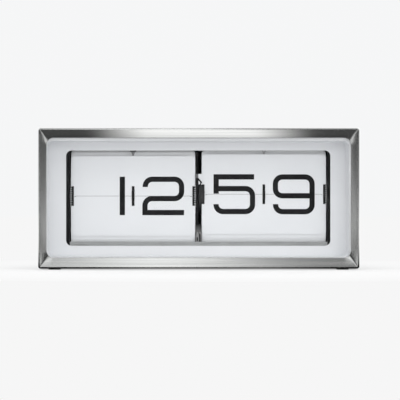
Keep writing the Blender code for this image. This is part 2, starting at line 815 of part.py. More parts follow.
def make_drums(black, steel, brass):
    hour = pivot("hour_drum_axis", 0, axis_y, axis_z)
    minute = pivot("minute_drum_axis", 0, axis_y, axis_z)
    m = mechanism_shift
    hub_left = hour_gear_x - fit_gap
    hub_right = minute_gear_x + gear_width + fit_gap
    inner_end = wheel_in - wheel_thickness
    make_hub("hour_hub", hub_left, m - inner_end, m - leaf_middle, black, hour)
    make_wheel("hour_wheel_left", m - wheel_out, -1, wheel_thickness, black, hour)
    make_wheel("hour_wheel_right", m - wheel_in, 1, wheel_thickness, black, hour)
    make_hub("minute_hub", m + inner_end - drum_collar, hub_right, m + leaf_middle, black, minute)
    make_wheel("minute_wheel_left", m + wheel_in, -1, wheel_thickness + drum_collar, black, minute)
    make_wheel("minute_wheel_right", m + wheel_out, 1, wheel_thickness, black, minute)
    rod("drum_shaft", "x", bridge_x + fit_gap, hub_right, shaft_radius, small_segments, steel, minute)
    bore = wheel_bore
    place = (axis_y, axis_z)
    tube("left_bush", "x", m - plate_out, m - plate_in, bore, bush_radius, hub_segments, brass, centre=place)
    tube("right_bush", "x", m + plate_in, m + plate_out, bore, bush_radius, hub_segments, brass, centre=place)
    tube("centre_bush", "x", centre_low, centre_high, shaft_bore, shaft_bore + bush_wall,
         hub_segments, brass, centre=place)
    return hour, minute


# Gears

def gear_outline(teeth, first_tooth):
    # Involute flanks with a little backlash; first_tooth is the angle of a tooth's middle in degrees.
    pitch = gear_reach * teeth
    base = pitch * math.cos(gear_pressure)
    tip = pitch + gear_addendum_share * gear_module
    root = pitch - gear_dedendum_share * gear_module
    start = max(base, root)
    half = math.pi / (2 * teeth) - gear_backlash / (2 * pitch)

    def flank(radius):
        slope = math.acos(min(1.0, base / radius))
        return half + involute(gear_pressure) - involute(slope)

    radii = [start, (start + tip) / 2, tip]
    side = [(radius, flank(radius)) for radius in radii]
    if root < base:
        side.insert(0, (root, flank(base)))
    points = []
    for k in range(teeth):
        middle = math.radians(first_tooth) + 2 * math.pi * k / teeth
        tooth = [(r, middle - a) for r, a in side] + [(r, middle + a) for r, a in reversed(side)]
        points += [(r * math.cos(a), r * math.sin(a)) for r, a in tooth]
    return points


def involute(angle):
    return math.tan(angle) - angle


def make_gear(name, teeth, first_tooth, low, high, bore, material, parent):
    gear = prism(name, gear_outline(teeth, first_tooth), "x", low, high, material, parent)
    if bore:
        cut(gear, rod(name + "_bore", "x", low - cut_over, high + cut_over, bore, hub_segments,
                      parent=parent))
    return gear


def half_tooth(teeth):
    return 180 / teeth


def make_left_gears(brass, steel, black, hour, minute):
    # Shaft pinion 12 to 48, then 15 to 45: the hour drum turns once for twelve turns of the shaft.
    transfer = pivot("transfer_axis", 0, axis_y, transfer_z)
    gear_end = hour_gear_x + gear_width
    pinion_end = pinion_x + gear_width
    make_gear("hour_gear", hour_gear_teeth, 90 + half_tooth(hour_gear_teeth), hour_gear_x, gear_end,
              wheel_bore, brass, hour)
    make_gear("shaft_pinion", shaft_pinion_teeth, 90, pinion_x, pinion_end, shaft_bore, steel, minute)
    large = make_gear("transfer_gear", transfer_large_teeth, -90 + half_tooth(transfer_large_teeth),
                      pinion_x, pinion_end, 0, brass, transfer)
    small = make_gear("transfer_small", transfer_small_teeth, -90, pinion_end - layer_room, gear_end,
                      0, None, transfer)
    join(large, small)
    cut(large, rod("transfer_bore", "x", pinion_x - cut_over, gear_end + cut_over,
                   transfer_axle_radius + fit_gap, hub_segments, parent=transfer))
    rod("transfer_axle", "x", bridge_x + fit_gap, left_plate_x - fit_gap, transfer_axle_radius,
        small_segments, steel, centre=(axis_y, transfer_z))
    make_bridge(black)


def make_bridge(black):
    bottom = axis_z - post_reach
    top = transfer_z + post_reach
    half = bridge_half_width
    outline = arc(axis_y, top, half, 0, 180, 2 * corner_steps)
    outline += arc(axis_y, bottom, half, 180, 360, 2 * corner_steps)
    back = bridge_x + bridge_thickness
    bridge = prism("gear_bridge", outline, "x", bridge_x, back, black)
    for z in (bottom, top):
        join(bridge, rod("bridge_post", "x", back - bridge_thickness / 2, left_plate_x - fit_gap,
                         post_radius, small_segments, centre=(axis_y, z)))
    for z, radius in ((axis_z, shaft_bore), (transfer_z, transfer_axle_radius + fit_gap)):
        cut(bridge, rod("bridge_hole", "x", bridge_x - cut_over, back + cut_over, radius,
                        small_segments, centre=(axis_y, z)))


def make_right_gears(brass, steel, black, minute):
    gear_end = minute_gear_x + gear_width
    make_gear("minute_gear", minute_gear_teeth, -90, minute_gear_x, gear_end, wheel_bore, brass, minute)
    motor = pivot("motor_axis", 0, axis_y, motor_z)
    pinion = make_gear("motor_pinion", motor_pinion_teeth, 90 + half_tooth(motor_pinion_teeth),
                       minute_gear_x, gear_end, 0, steel, motor)
    join(pinion, rod("motor_stub", "x", gear_end - gear_width / 2, gearbox_x + motor_stub,
                     motor_stub_radius, small_segments, parent=motor))
    setting = pivot("set_wheel_axis", 0, set_y, axis_z)
    wheel = make_gear("set_wheel", set_gear_teeth, 180 + half_tooth(set_gear_teeth), minute_gear_x,
                      gear_end, 0, black, setting)
    join(wheel, thumb_rim(gear_end, setting))
    bore = set_axle_radius + fit_gap
    cut(wheel, rod("set_bore", "x", minute_gear_x - cut_over, thumb_x + thumb_width + cut_over, bore,
                   small_segments, parent=setting))
    head = thumb_x + thumb_width + fit_gap
    profile = [(right_plate_x + fit_gap, 0), (right_plate_x + fit_gap, set_axle_radius),
               (head, set_axle_radius), (head, set_head_radius), (head + set_head, set_head_radius),
               (head + set_head, 0)]
    turned("set_axle", profile, "x", small_segments, steel, centre=(set_y, axis_z))


def thumb_rim(gear_end, setting):
    # A neck of the gear's root size carries the thumb disc beside it.
    neck = gear_reach * set_gear_teeth - 2 * gear_module
    profile = [(gear_end - gear_width / 2, 0), (gear_end - gear_width / 2, neck), (thumb_x, neck),
               (thumb_x, thumb_radius), (thumb_x + thumb_width, thumb_radius),
               (thumb_x + thumb_width, 0)]
    return turned("thumb_rim", profile, "x", wheel_segments, parent=setting)


def make_motor(grey, steel):
    y = axis_y - gearbox_front
    top = motor_z + gearbox_top
    bottom = top - gearbox_height
    outline = rounded(y, bottom, y + gearbox_depth, top, gearbox_corner)
    back = gearbox_x + gearbox_thickness
    box = prism("motor_gearbox", outline, "x", gearbox_x, back, grey)
    for way in (-1, 1):
        place = (y + gearbox_depth / 2 + way * gearbox_post_reach, motor_z - gearbox_post_drop)
        join(box, rod("gearbox_post", "x", right_plate_x + fit_gap, gearbox_x + layer_room,
                      gearbox_post_radius, small_segments, centre=place))
    cut(box, rod("stub_bore", "x", gearbox_x - cut_over, gearbox_x + motor_stub + fit_gap,
                 motor_stub_radius + fit_gap, small_segments, centre=(axis_y, motor_z)))
    low = back + fit_gap
    neck = low + motor_can_length * motor_neck_share
    high = low + motor_can_length
    profile = [(low, 0), (low, motor_can_radius), (high - (neck - low), motor_can_radius),
               (high - (neck - low), motor_neck_radius), (high, motor_neck_radius), (high, 0)]
    turned("motor_can", profile, "x", hub_segments, steel,
           centre=(axis_y - motor_can_forward, motor_z - motor_can_drop))


# Battery

def make_battery(black, steel, label):
    half = cell_length / 2
    place = (cell_y, cell_z)
    end = battery_x + half
    profile = [(battery_x - half, 0), (battery_x - half, cell_radius), (end, cell_radius),
               (end, cell_nub_radius), (end + cell_nub, cell_nub_radius), (end + cell_nub, 0)]
    turned("battery_cell", profile, "x", hub_segments, label, centre=place)
    wall_in = half + holder_end_room
    front_in = cell_y - cell_radius - fit_gap
    top_in = cell_z + cell_radius + run_gap
    bottom_in = plate_low + holder_wall
    low = (battery_x - wall_in - holder_wall, front_in - holder_wall, plate_low)
    high = (battery_x + wall_in + holder_wall, cover_inner - fit_gap, top_in + holder_wall)
    holder = block("battery_holder", low, high, black)
    cut(holder, block("holder_bay", (battery_x - wall_in, front_in, bottom_in),
                      (battery_x + wall_in, cover_inner + cut_over, top_in)))
    z_low = cell_z - contact_height / 2
    z_high = cell_z + contact_height / 2
    y_low = cell_y - contact_width / 2
    y_high = cell_y + contact_width / 2
    wall = battery_x + wall_in - fit_gap
    block("battery_contact", (wall - contact_thickness, y_low, z_low), (wall, y_high, z_high), steel)
    wall = battery_x - wall_in + fit_gap
    reach = wall + spring_reach
    t = contact_thickness
    outline = [(wall, y_low), (wall + t, y_low), (reach + t, cell_y), (wall + t, y_high),
               (wall, y_high), (reach, cell_y)]
    prism("battery_spring", outline, "z", z_low, z_high, steel)


def build():
    clear_scene()
    black = finish("black_plastic", (0.03, 0.03, 0.032), 0.5)
    pale = finish("pale_metal", (0.55, 0.56, 0.56), 0.4, 0.6)
    steel = finish("plain_steel", (0.6, 0.6, 0.6), 0.35, 1.0)
    brass = finish("brass", (0.75, 0.58, 0.28), 0.3, 1.0)
    leaf = finish("leaf_white", (0.83, 0.85, 0.83), 0.5)
    grey = finish("grey_plastic", (0.3, 0.3, 0.31), 0.5)
    label = finish("cell_label", (0.10, 0.12, 0.16), 0.35)
    make_case()
    make_pane()
    make_tub()
    make_feet()
    make_rear_cover(black)
    make_battery_door(black, steel)
    make_case_fasteners(steel)
    make_frame(black, pale, steel)
    make_display("hour", -1, hour_hinge_rise, leaf, steel)
    make_display("minute", 1, minute_hinge_rise, leaf, steel)
    hour, minute = make_drums(black, steel, brass)
    make_left_gears(brass, steel, black, hour, minute)
    make_right_gears(brass, steel, black, minute)
    make_motor(grey, steel)
    make_battery(black, steel, label)


build()
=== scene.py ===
import json
import math
import re
import bmesh
import bpy
from mathutils import Matrix, Vector


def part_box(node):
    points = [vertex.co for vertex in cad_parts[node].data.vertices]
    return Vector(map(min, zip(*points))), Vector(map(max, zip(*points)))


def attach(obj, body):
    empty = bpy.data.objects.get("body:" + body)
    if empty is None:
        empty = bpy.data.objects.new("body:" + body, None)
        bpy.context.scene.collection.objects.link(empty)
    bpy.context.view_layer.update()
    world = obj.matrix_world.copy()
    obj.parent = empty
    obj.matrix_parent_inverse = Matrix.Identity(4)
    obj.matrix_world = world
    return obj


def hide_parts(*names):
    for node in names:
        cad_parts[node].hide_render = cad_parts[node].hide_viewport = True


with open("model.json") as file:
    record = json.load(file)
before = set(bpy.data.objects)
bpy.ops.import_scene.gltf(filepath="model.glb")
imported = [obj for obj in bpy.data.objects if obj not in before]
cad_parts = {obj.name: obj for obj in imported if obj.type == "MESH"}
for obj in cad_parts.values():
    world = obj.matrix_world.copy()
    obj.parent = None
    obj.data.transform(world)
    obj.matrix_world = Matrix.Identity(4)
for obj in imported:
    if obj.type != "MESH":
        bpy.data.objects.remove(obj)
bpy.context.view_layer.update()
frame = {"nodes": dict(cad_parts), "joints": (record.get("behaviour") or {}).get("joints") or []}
nodes = frame["nodes"]
print("stage: frame loaded,", len(nodes), "nodes")


def jointOf(child):
    return next(j for j in frame["joints"] if j["child"] == child)


def middleOf(node):
    low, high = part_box(node)
    return [(a + b) / 2 for a, b in zip(low, high)]


def setDown(name, data):
    thing = bpy.data.objects.new(name, data)
    bpy.context.scene.collection.objects.link(thing)
    return thing


# Shader maths: a wire is one socket, and sums of wires become Math nodes.

class Wire:
    def __init__(self, finish, socket):
        self.finish = finish
        self.socket = socket

    def maths(self, operation, first, second=None):
        values = [first] if second is None else [first, second]
        return self.finish.add("ShaderNodeMath", {"operation": operation}, dict(enumerate(values)))

    def __add__(self, other):
        return self.maths("ADD", self, other)

    def __radd__(self, other):
        return self.maths("ADD", other, self)

    def __sub__(self, other):
        return self.maths("SUBTRACT", self, other)

    def __rsub__(self, other):
        return self.maths("SUBTRACT", other, self)

    def __mul__(self, other):
        return self.maths("MULTIPLY", self, other)

    def __rmul__(self, other):
        return self.maths("MULTIPLY", other, self)

    def above(self, edge):
        return self.maths("GREATER_THAN", self, edge)

    def size(self):
        return self.maths("ABSOLUTE", self)


class Finish:
    def __init__(self, name, tree=None):
        self.material = None
        if tree is None:
            self.material = bpy.data.materials.new(name)
            self.material.use_nodes = True
            tree = self.material.node_tree
        self.tree = tree
        self.shader = next((n for n in tree.nodes if n.type == "BSDF_PRINCIPLED"), None)

    def add(self, kind, settings=None, inputs=None, out=0):
        node = self.tree.nodes.new(kind)
        for key, value in (settings or {}).items():
            setattr(node, key, value)
        for key, value in (inputs or {}).items():
            self.put(node.inputs[key], value)
        return Wire(self, node.outputs[out])

    def put(self, socket, value):
        if isinstance(value, Wire):
            self.tree.links.new(value.socket, socket)
        else:
            socket.default_value = value

    def set(self, **values):
        for key, value in values.items():
            name = re.sub("([a-z])([A-Z])", r"\1 \2", key).replace("IORLevel", "IOR Level")
            self.put(self.shader.inputs[name[0].upper() + name[1:]], value)
        return self

    def place(self):
        return self.add("ShaderNodeTexCoord", out="Object")

    def stretched(self, scale):
        return self.add("ShaderNodeMapping", None, {"Vector": self.place(), "Scale": scale})

    def noise(self, where, scale, detail=3.0, rough=0.5):
        return self.add("ShaderNodeTexNoise", {"noise_dimensions": "3D"},
                        {"Vector": where, "Scale": scale, "Detail": detail, "Roughness": rough})

    def mix(self, amount, low, high):
        return self.add("ShaderNodeMix", {"data_type": "RGBA"}, {0: amount, 6: low, 7: high}, out=2)

    def span(self, value, low, high, newLow, newHigh):
        return self.add("ShaderNodeMapRange", None, {"Value": value, "From Min": low, "From Max": high,
                                                     "To Min": newLow, "To Max": newHigh})

    def bump(self, height, strength, distance):
        return self.add("ShaderNodeBump", None,
                        {"Height": height, "Strength": strength, "Distance": distance})

    def axis(self, name):
        return self.add("ShaderNodeSeparateXYZ", None, {0: self.place()}, out=name)


def colour(red, green, blue):
    return (red, green, blue, 1.0)


def grey(level):
    return colour(level, level, level)


# Finishes

brushed = {"dark": colour(0.50, 0.505, 0.50), "light": colour(0.63, 0.635, 0.625), "along": 6.0,
           "across": 1500.0, "rough": (0.17, 0.22), "bump": 0.06, "depth": 0.00003}


def brushedSteel(name, brushAxis, anisotropic, rotation):
    finish = Finish(name)
    scale = [brushed["across"]] * 3
    scale[brushAxis] = brushed["along"]
    lines = finish.noise(finish.stretched(scale), 1.0, 4.0, 0.6)
    wide = finish.noise(finish.stretched([s * 0.15 for s in scale]), 1.0, 2.0)
    streak = lines * 0.7 + wide * 0.3
    spread = finish.span(streak, 0.35, 0.65, 0.0, 1.0)
    finish.set(baseColor=finish.mix(spread, brushed["dark"], brushed["light"]),
               roughness=finish.span(wide, 0.3, 0.7, *brushed["rough"]), metallic=1.0,
               anisotropic=anisotropic, anisotropicRotation=rotation,
               normal=finish.bump(lines, brushed["bump"], brushed["depth"]))
    return finish.material


def moulded(name, base, shade, rough, grain=900.0, bump=0.05, shine=0.5):
    # Moulded plastic: a fine grain in the surface and slow changes of tone and gloss.
    finish = Finish(name)
    slow = finish.noise(finish.place(), 14.0, 2.0)
    fine = finish.noise(finish.place(), grain, 2.0)
    finish.set(baseColor=finish.mix(finish.span(slow, 0.3, 0.7, 0.0, 1.0), base, shade),
               roughness=finish.span(slow, 0.3, 0.7, rough - 0.04, rough + 0.05),
               specularIORLevel=shine, normal=finish.bump(fine, bump, 0.00005))
    return finish.material


def worked(name, base, shade, rough, scale=(400.0, 400.0, 400.0), bump=0.06, metallic=1.0, shine=0.5):
    # Turned, stamped or cut metal with faint marks of the tool.
    finish = Finish(name)
    marks = finish.noise(finish.stretched(scale), 1.0, 4.0, 0.6)
    slow = finish.noise(finish.place(), 60.0, 3.0)
    spread = finish.span(marks * 0.5 + slow * 0.5, 0.35, 0.65, 0.0, 1.0)
    finish.set(baseColor=finish.mix(spread, base, shade),
               roughness=finish.span(slow, 0.3, 0.7, rough - 0.06, rough + 0.08), metallic=metallic,
               specularIORLevel=shine, normal=finish.bump(marks, bump, 0.00003))
    return finish.material


def clearPane():
    finish = Finish("clearPane")
    smear = finish.noise(finish.stretched((9.0, 9.0, 22.0)), 1.0, 3.0)
    finish.set(baseColor=grey(0.01), roughness=finish.span(smear, 0.3, 0.7, 0.02, 0.06),
               alpha=0.035)
    return finish.material


def cellSleeve():
    # A plain printed sleeve: a dark body and a copper-coloured band at the positive end.
    finish = Finish("cellSleeve")
    along = finish.axis("X")
    band = along.above(cellBand["bandStart"])
    bare = along.above(cellBand["bareStart"])
    sleeve = finish.mix(band, colour(0.035, 0.04, 0.05), colour(0.52, 0.27, 0.12))
    finish.set(baseColor=finish.mix(bare, sleeve, colour(0.6, 0.6, 0.58)), roughness=0.3, metallic=bare)
    return finish.material


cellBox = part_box("battery_cell")
cellBand = {"bandStart": cellBox[1].x - 0.016, "bareStart": cellBox[1].x - 0.0022}

steelFront = brushedSteel("steelLipAlong", 0, 0.9, 0.25)
steelSides = brushedSteel("steelLipUpright", 2, 0.9, 0.0)
steelBody = brushedSteel("steelBody", 0, 0.3, 0.25)
tubWhite = moulded("tubWhite", colour(0.76, 0.772, 0.79), colour(0.78, 0.792, 0.81), 0.42)
leafWhite = moulded("leafWhite", colour(0.80, 0.815, 0.835), colour(0.82, 0.835, 0.852), 0.5, 1500.0)
printBlack = moulded("printBlack", colour(0.010, 0.010, 0.011), colour(0.014, 0.014, 0.015), 0.42, 2200.0,
                     0.05, 0.25)
plasticBlack = moulded("plasticBlack", colour(0.012, 0.012, 0.013), colour(0.018, 0.018, 0.019), 0.45,
                       700.0, 0.12, 0.35)
coverBlack = moulded("coverBlack", colour(0.020, 0.020, 0.022), colour(0.030, 0.030, 0.032), 0.5,
                     1300.0, 0.35)
drumGrey = moulded("drumGrey", colour(0.028, 0.029, 0.030), colour(0.045, 0.046, 0.048), 0.4)
plateBlack = worked("plateBlack", colour(0.007, 0.007, 0.008), colour(0.013, 0.013, 0.014), 0.42,
                    (300.0, 300.0, 60.0), 0.08, 0.0, 0.3)
barPale = worked("barPale", colour(0.36, 0.37, 0.37), colour(0.44, 0.45, 0.45), 0.45,
                 (12.0, 500.0, 500.0), 0.06, 0.35)
plainSteel = worked("plainSteel", grey(0.48), grey(0.60), 0.34)
darkSteel = worked("darkSteel", colour(0.16, 0.165, 0.17), colour(0.22, 0.225, 0.23), 0.38)
cutBrass = worked("cutBrass", colour(0.62, 0.44, 0.17), colour(0.74, 0.56, 0.25), 0.3,
                  (900.0, 90.0, 90.0))
softRubber = moulded("softRubber", colour(0.56, 0.56, 0.54), colour(0.62, 0.62, 0.60), 0.7, 600.0, 0.3)
foldPale = worked("foldPale", grey(0.30), grey(0.38), 0.4, (200.0, 200.0, 200.0), 0.08, 0.6)


def makePaintedTailShade():
    # Painted shade: the tail is a flat plate whose base colour darkens upward, standing in for the real
    # tail turning from the light.
    finish = Finish("paintedTailShade")
    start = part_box("lower_crossbar")[1].z + 0.0100
    level = finish.span(finish.axis("Z"), start, start + 0.0095, 1.0, 0.0)
    finish.set(baseColor=finish.mix(level, grey(0.02), grey(0.17)),
               roughness=finish.span(finish.noise(finish.place(), 500.0), 0.3, 0.7, 0.38, 0.5),
               metallic=0.3)
    return finish.material


paintedTailShade = makePaintedTailShade()
catchGrey = worked("catchGrey", colour(0.26, 0.26, 0.27), colour(0.32, 0.32, 0.33), 0.45,
                   (90.0, 90.0, 90.0), 0.05, 0.4)
# Painted shade: the bracket's back plate, a much darker grey than the same strip's pale front, standing in
# for the shade deep in the gap.
foldPaintedShade = worked("foldPaintedShade", colour(0.06, 0.06, 0.062), colour(0.10, 0.10, 0.102), 0.45)
guideGrey = moulded("guideGrey", colour(0.13, 0.13, 0.135), colour(0.19, 0.19, 0.195), 0.4)
boxGrey = moulded("boxGrey", colour(0.22, 0.22, 0.23), colour(0.27, 0.27, 0.28), 0.5, 800.0, 0.2)
print("stage: finishes made")


# Mesh tools

def sealed(mesh):
    shape = bmesh.new()
    shape.from_mesh(mesh)
    bmesh.ops.remove_doubles(shape, verts=shape.verts, dist=0.000001)
    bmesh.ops.recalc_face_normals(shape, faces=shape.faces)
    shape.to_mesh(mesh)
    shape.free()


def smoothed(mesh, angle):
    if angle:
        mesh.shade_smooth()
        mesh.set_sharp_from_angle(angle=math.radians(angle))


def pieceFrom(name, points, faces, material, smooth=30):
    mesh = bpy.data.meshes.new(name)
    mesh.from_pydata([tuple(p) for p in points], [], faces)
    sealed(mesh)
    smoothed(mesh, smooth)
    mesh.materials.append(material)
    return setDown(name, mesh)


def keep(piece, body, replaced=()):
    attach(piece, body)
    if replaced:
        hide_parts(*replaced)
    return piece


def arcPoints(centreA, centreB, radius, start, end, steps):
    turns = [math.radians(start + (end - start) * k / steps) for k in range(steps + 1)]
    return [(centreA + radius * math.cos(t), centreB + radius * math.sin(t)) for t in turns]


def roundedOutline(lowA, lowB, highA, highB, radius, steps):
    points = arcPoints(highA - radius, highB - radius, radius, 0, 90, steps)
    points += arcPoints(lowA + radius, highB - radius, radius, 90, 180, steps)
    points += arcPoints(lowA + radius, lowB + radius, radius, 180, 270, steps)
    points += arcPoints(highA - radius, lowB + radius, radius, 270, 360, steps)
    return points


def ringFaces(ringCount, count, closed=True):
    faces = []
    for i in range(ringCount if closed else ringCount - 1):
        j = (i + 1) % ringCount
        for k in range(count):
            n = (k + 1) % count
            faces.append((i * count + k, i * count + n, j * count + n, j * count + k))
    return faces


def prismData(outline, low, high, toPoint):
    count = len(outline)
    points = [toPoint(low, a, b) for a, b in outline] + [toPoint(high, a, b) for a, b in outline]
    faces = [tuple(range(count)), tuple(range(2 * count - 1, count - 1, -1))]
    faces += [(i, (i + 1) % count, count + (i + 1) % count, count + i) for i in range(count)]
    return points, faces


def alongX(value, a, b):
    return (value, a, b)


def alongY(value, a, b):
    return (a, value, b)


def latheData(profile, segments, toPoint=alongX, centre=(0.0, 0.0)):
    # The profile is (along, radius) and closes on itself; a radius of zero is a pole.
    points, rings, faces = [], [], []
    for along, radius in profile:
        start = len(points)
        steps = segments if radius > 0 else 1
        for k in range(steps):
            angle = 2 * math.pi * k / segments
            points.append(toPoint(along, centre[0] + radius * math.cos(angle),
                                  centre[1] + radius * math.sin(angle)))
        rings.append([start + k % steps for k in range(segments)])
    for ring, after in zip(rings, rings[1:] + rings[:1]):
        for k in range(segments):
            n = (k + 1) % segments
            corners = [ring[k], ring[n], after[n], after[k]]
            corners = [c for i, c in enumerate(corners) if c not in corners[:i]]
            if len(corners) > 2:
                faces.append(tuple(corners))
    return points, faces


def merged(*parts):
    points, faces = [], []
    for somePoints, someFaces in parts:
        shift = len(points)
        points += list(somePoints)
        faces += [tuple(i + shift for i in face) for face in someFaces]
    return points, faces


# Geometry Nodes: one tree sets a part at every place, turned as the place says.

def scatterTree():
    tree = bpy.data.node_groups.new("setOut", "GeometryNodeTree")
    ports = {"places": ("INPUT", "NodeSocketGeometry"), "part": ("INPUT", "NodeSocketObject"),
             "finish": ("INPUT", "NodeSocketMaterial"), "looseness": ("INPUT", "NodeSocketFloat"),
             "seed": ("INPUT", "NodeSocketInt"), "made": ("OUTPUT", "NodeSocketGeometry")}
    ids = {}
    for name, (way, kind) in ports.items():
        ids[name] = tree.interface.new_socket(name=name, in_out=way, socket_type=kind).identifier
    new, link = tree.nodes.new, tree.links.new
    start, end = new("NodeGroupInput"), new("NodeGroupOutput")
    turn = new("GeometryNodeInputNamedAttribute")
    turn.data_type = "FLOAT_VECTOR"
    turn.inputs["Name"].default_value = "turn"
    chance = new("FunctionNodeRandomValue")
    chance.data_type = "FLOAT"
    chance.inputs[2].default_value = -1.0
    chance.inputs[3].default_value = 1.0
    scale = new("ShaderNodeMath")
    scale.operation = "MULTIPLY"
    lean = new("ShaderNodeCombineXYZ")
    total = new("ShaderNodeVectorMath")
    info = new("GeometryNodeObjectInfo")
    info.inputs["As Instance"].default_value = True
    put = new("GeometryNodeInstanceOnPoints")
    real = new("GeometryNodeRealizeInstances")
    paint = new("GeometryNodeSetMaterial")
    link(start.outputs["seed"], chance.inputs["Seed"])
    link(chance.outputs[1], scale.inputs[0])
    link(start.outputs["looseness"], scale.inputs[1])
    link(scale.outputs[0], lean.inputs["X"])
    link(turn.outputs["Attribute"], total.inputs[0])
    link(lean.outputs[0], total.inputs[1])
    link(start.outputs["part"], info.inputs["Object"])
    link(start.outputs["places"], put.inputs["Points"])
    link(info.outputs["Geometry"], put.inputs["Instance"])
    link(total.outputs[0], put.inputs["Rotation"])
    link(put.outputs[0], real.inputs[0])
    link(real.outputs[0], paint.inputs["Geometry"])
    link(start.outputs["finish"], paint.inputs["Material"])
    link(paint.outputs[0], end.inputs["made"])
    return tree, ids


setOut, setOutIds = scatterTree()


def setAtPlaces(name, places, turns, partData, material, looseness=0.0, seed=1, smooth=30):
    part = pieceFrom(name + "_part", *partData, material, smooth)
    cloud = bpy.data.meshes.new(name + "_places")
    cloud.from_pydata(places, [], [])
    turned = cloud.attributes.new("turn", "FLOAT_VECTOR", "POINT")
    for item, turn in zip(turned.data, turns):
        item.vector = turn
    carrier = setDown(name + "_carrier", cloud)
    step = carrier.modifiers.new("setOut", "NODES")
    step.node_group = setOut
    values = {"part": part, "finish": material, "looseness": looseness, "seed": seed}
    for key, value in values.items():
        step[setOutIds[key]] = value
    bpy.context.view_layer.update()
    graph = bpy.context.evaluated_depsgraph_get()
    mesh = bpy.data.meshes.new_from_object(carrier.evaluated_get(graph))
    mesh.name = name
    for item in (carrier, part):
        bpy.data.objects.remove(item, do_unlink=True)
    smoothed(mesh, smooth)
    return setDown(name, mesh)


def joined(piece, *others):
    # The meshes of the others go into the piece, each with its own finish.
    shape = bmesh.new()
    shape.from_mesh(piece.data)
    for other in others:
        slots = []
        for material in other.data.materials:
            if material not in list(piece.data.materials):
                piece.data.materials.append(material)
            slots.append(list(piece.data.materials).index(material))
        before = len(shape.faces)
        shape.from_mesh(other.data)
        shape.faces.ensure_lookup_table()
        for face in shape.faces[before:]:
            face.material_index = slots[face.material_index] if slots else 0
        bpy.data.objects.remove(other, do_unlink=True)
    shape.to_mesh(piece.data)
    shape.free()
    return piece


# Steel case

caseLow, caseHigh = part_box("case_shell")
caseLook = {"corner": 0.003, "wall": 0.0015, "frontRadius": 0.002, "frontSteps": 6, "cornerSteps": 8,
            "sideSteps": 4, "lipSide": 0.0095, "lipTop": 0.0112, "lipBottom": 0.0126, "lipDish": 0.0025,
            "lipCorner": 0.008, "lipEdge": 0.0004, "rearEdge": 0.0003, "sharpFrom": 20}


def outerCorner(wide, tall, radius):
    # From a side, round its corner, to the top; points are about the lip's corner centre.
    c = caseLook
    steps = c["sideSteps"]
    side = [(wide, (tall - radius) * k / steps) for k in range(steps)]
    arc = arcPoints(wide - radius, tall - radius, radius, 0, 90, c["cornerSteps"])
    top = [((wide - radius) * (1 - (k + 1) / steps), tall) for k in range(steps)]
    return side + arc + top


def innerCorner(wide, tall, count):
    # The same number of points on the opening's corner, the middle one on the mitre line.
    inner = caseLook["lipCorner"]
    slope = (tall - inner) / (wide - inner)
    lift = inner - slope * inner
    a = (-slope * lift + math.sqrt((1 + slope ** 2) * inner ** 2 - lift ** 2)) / (1 + slope ** 2)
    mitre = math.atan2(slope * a + lift, a)
    half = (count - 1) // 2
    angles = [mitre * k / half for k in range(half)]
    angles += [mitre + (math.pi / 2 - mitre) * k / half for k in range(half + 1)]
    return [(inner * math.cos(angle), inner * math.sin(angle)) for angle in angles]


def caseRing(y, inset, lipShare=1.0, dished=False):
    # lipShare is 1 on the outer outline and 0 on the opening. A dished ring lies on the lip's slopes.
    c = caseLook
    inner = c["lipCorner"]
    points = []
    corners = ((1, "lipTop", 1), (-1, "lipTop", 1), (-1, "lipBottom", -1), (1, "lipBottom", -1))
    for sideX, lipZ, sideZ in corners:
        wide, tall = c["lipSide"] + inner, c[lipZ] + inner
        centreX = (caseHigh.x if sideX > 0 else caseLow.x) - sideX * wide
        centreZ = (caseHigh.z if sideZ > 0 else caseLow.z) - sideZ * tall
        wide, tall = wide - inset, tall - inset
        outer = outerCorner(wide, tall, max(c["corner"] - inset, 0.0008))
        pairs = list(zip(outer, innerCorner(wide, tall, len(outer))))
        if sideX * sideZ < 0:
            pairs = pairs[::-1]
        for far, near in pairs:
            a = near[0] + (far[0] - near[0]) * lipShare
            b = near[1] + (far[1] - near[1]) * lipShare
            sunk = min((wide - a) / (wide - inner), (tall - b) / (tall - inner)) if dished else 0.0
            points.append((centreX + sideX * a, y + c["lipDish"] * sunk, centreZ + sideZ * b))
    return points


def makeCase():
    c = caseLook
    wall, radius, dish = c["wall"], c["frontRadius"], c["lipDish"]
    front, rear = caseLow.y, caseHigh.y
    rings = [caseRing(rear - c["rearEdge"], 0), caseRing(front + radius, 0)]
    for k in range(1, c["frontSteps"] + 1):
        angle = math.radians(90 * k / c["frontSteps"])
        rings.append(caseRing(front + radius * (1 - math.sin(angle)), radius * (1 - math.cos(angle))))
    rings += [caseRing(front, radius, share, True) for share in (0.96, 0.05)]
    rings += [caseRing(front + c["lipEdge"] * 0.3, radius, 0.01, True),
              caseRing(front + dish + wall, radius, 0.0), caseRing(front + radius + 0.0004, wall + 0.0004),
              caseRing(front + radius + wall, wall), caseRing(rear - c["rearEdge"], wall),
              caseRing(rear, wall + c["rearEdge"]), caseRing(rear, c["rearEdge"])]
    points = [p for ring in rings for p in ring]
    case = pieceFrom("steel_case", points, ringFaces(len(rings), len(rings[0])), steelBody, c["sharpFrom"])
    case.data.materials.append(steelFront)
    case.data.materials.append(steelSides)
    for face in case.data.polygons:
        if face.center.y < front + dish * 1.25 and face.normal.y < -0.3:
            face.material_index = 2 if abs(face.normal.x) > abs(face.normal.z) else 1
    keep(case, "clock", ["case_shell"])


makeCase()
print("stage: case made")


# White tub with the window

tubLow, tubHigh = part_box("fascia_tub")
tubLook = {"wall": 0.0018, "flange": 0.002, "draft": 0.0006, "thickness": 0.002, "cornerSteps": 10,
           "shiftX": -0.0012, "shiftZ": -0.0005, "fieldHalfWidth": 0.1717, "fieldHalfHeight": 0.0657,
           "fieldCorner": 0.005, "windowHalfWidth": 0.1528, "windowHalfHeight": 0.0551,
           "windowCorner": 0.0064, "windowShiftZ": 0.0004, "edge": 0.0005, "fillet": 0.0012}
caseMiddleZ = (caseLow.z + caseHigh.z) / 2


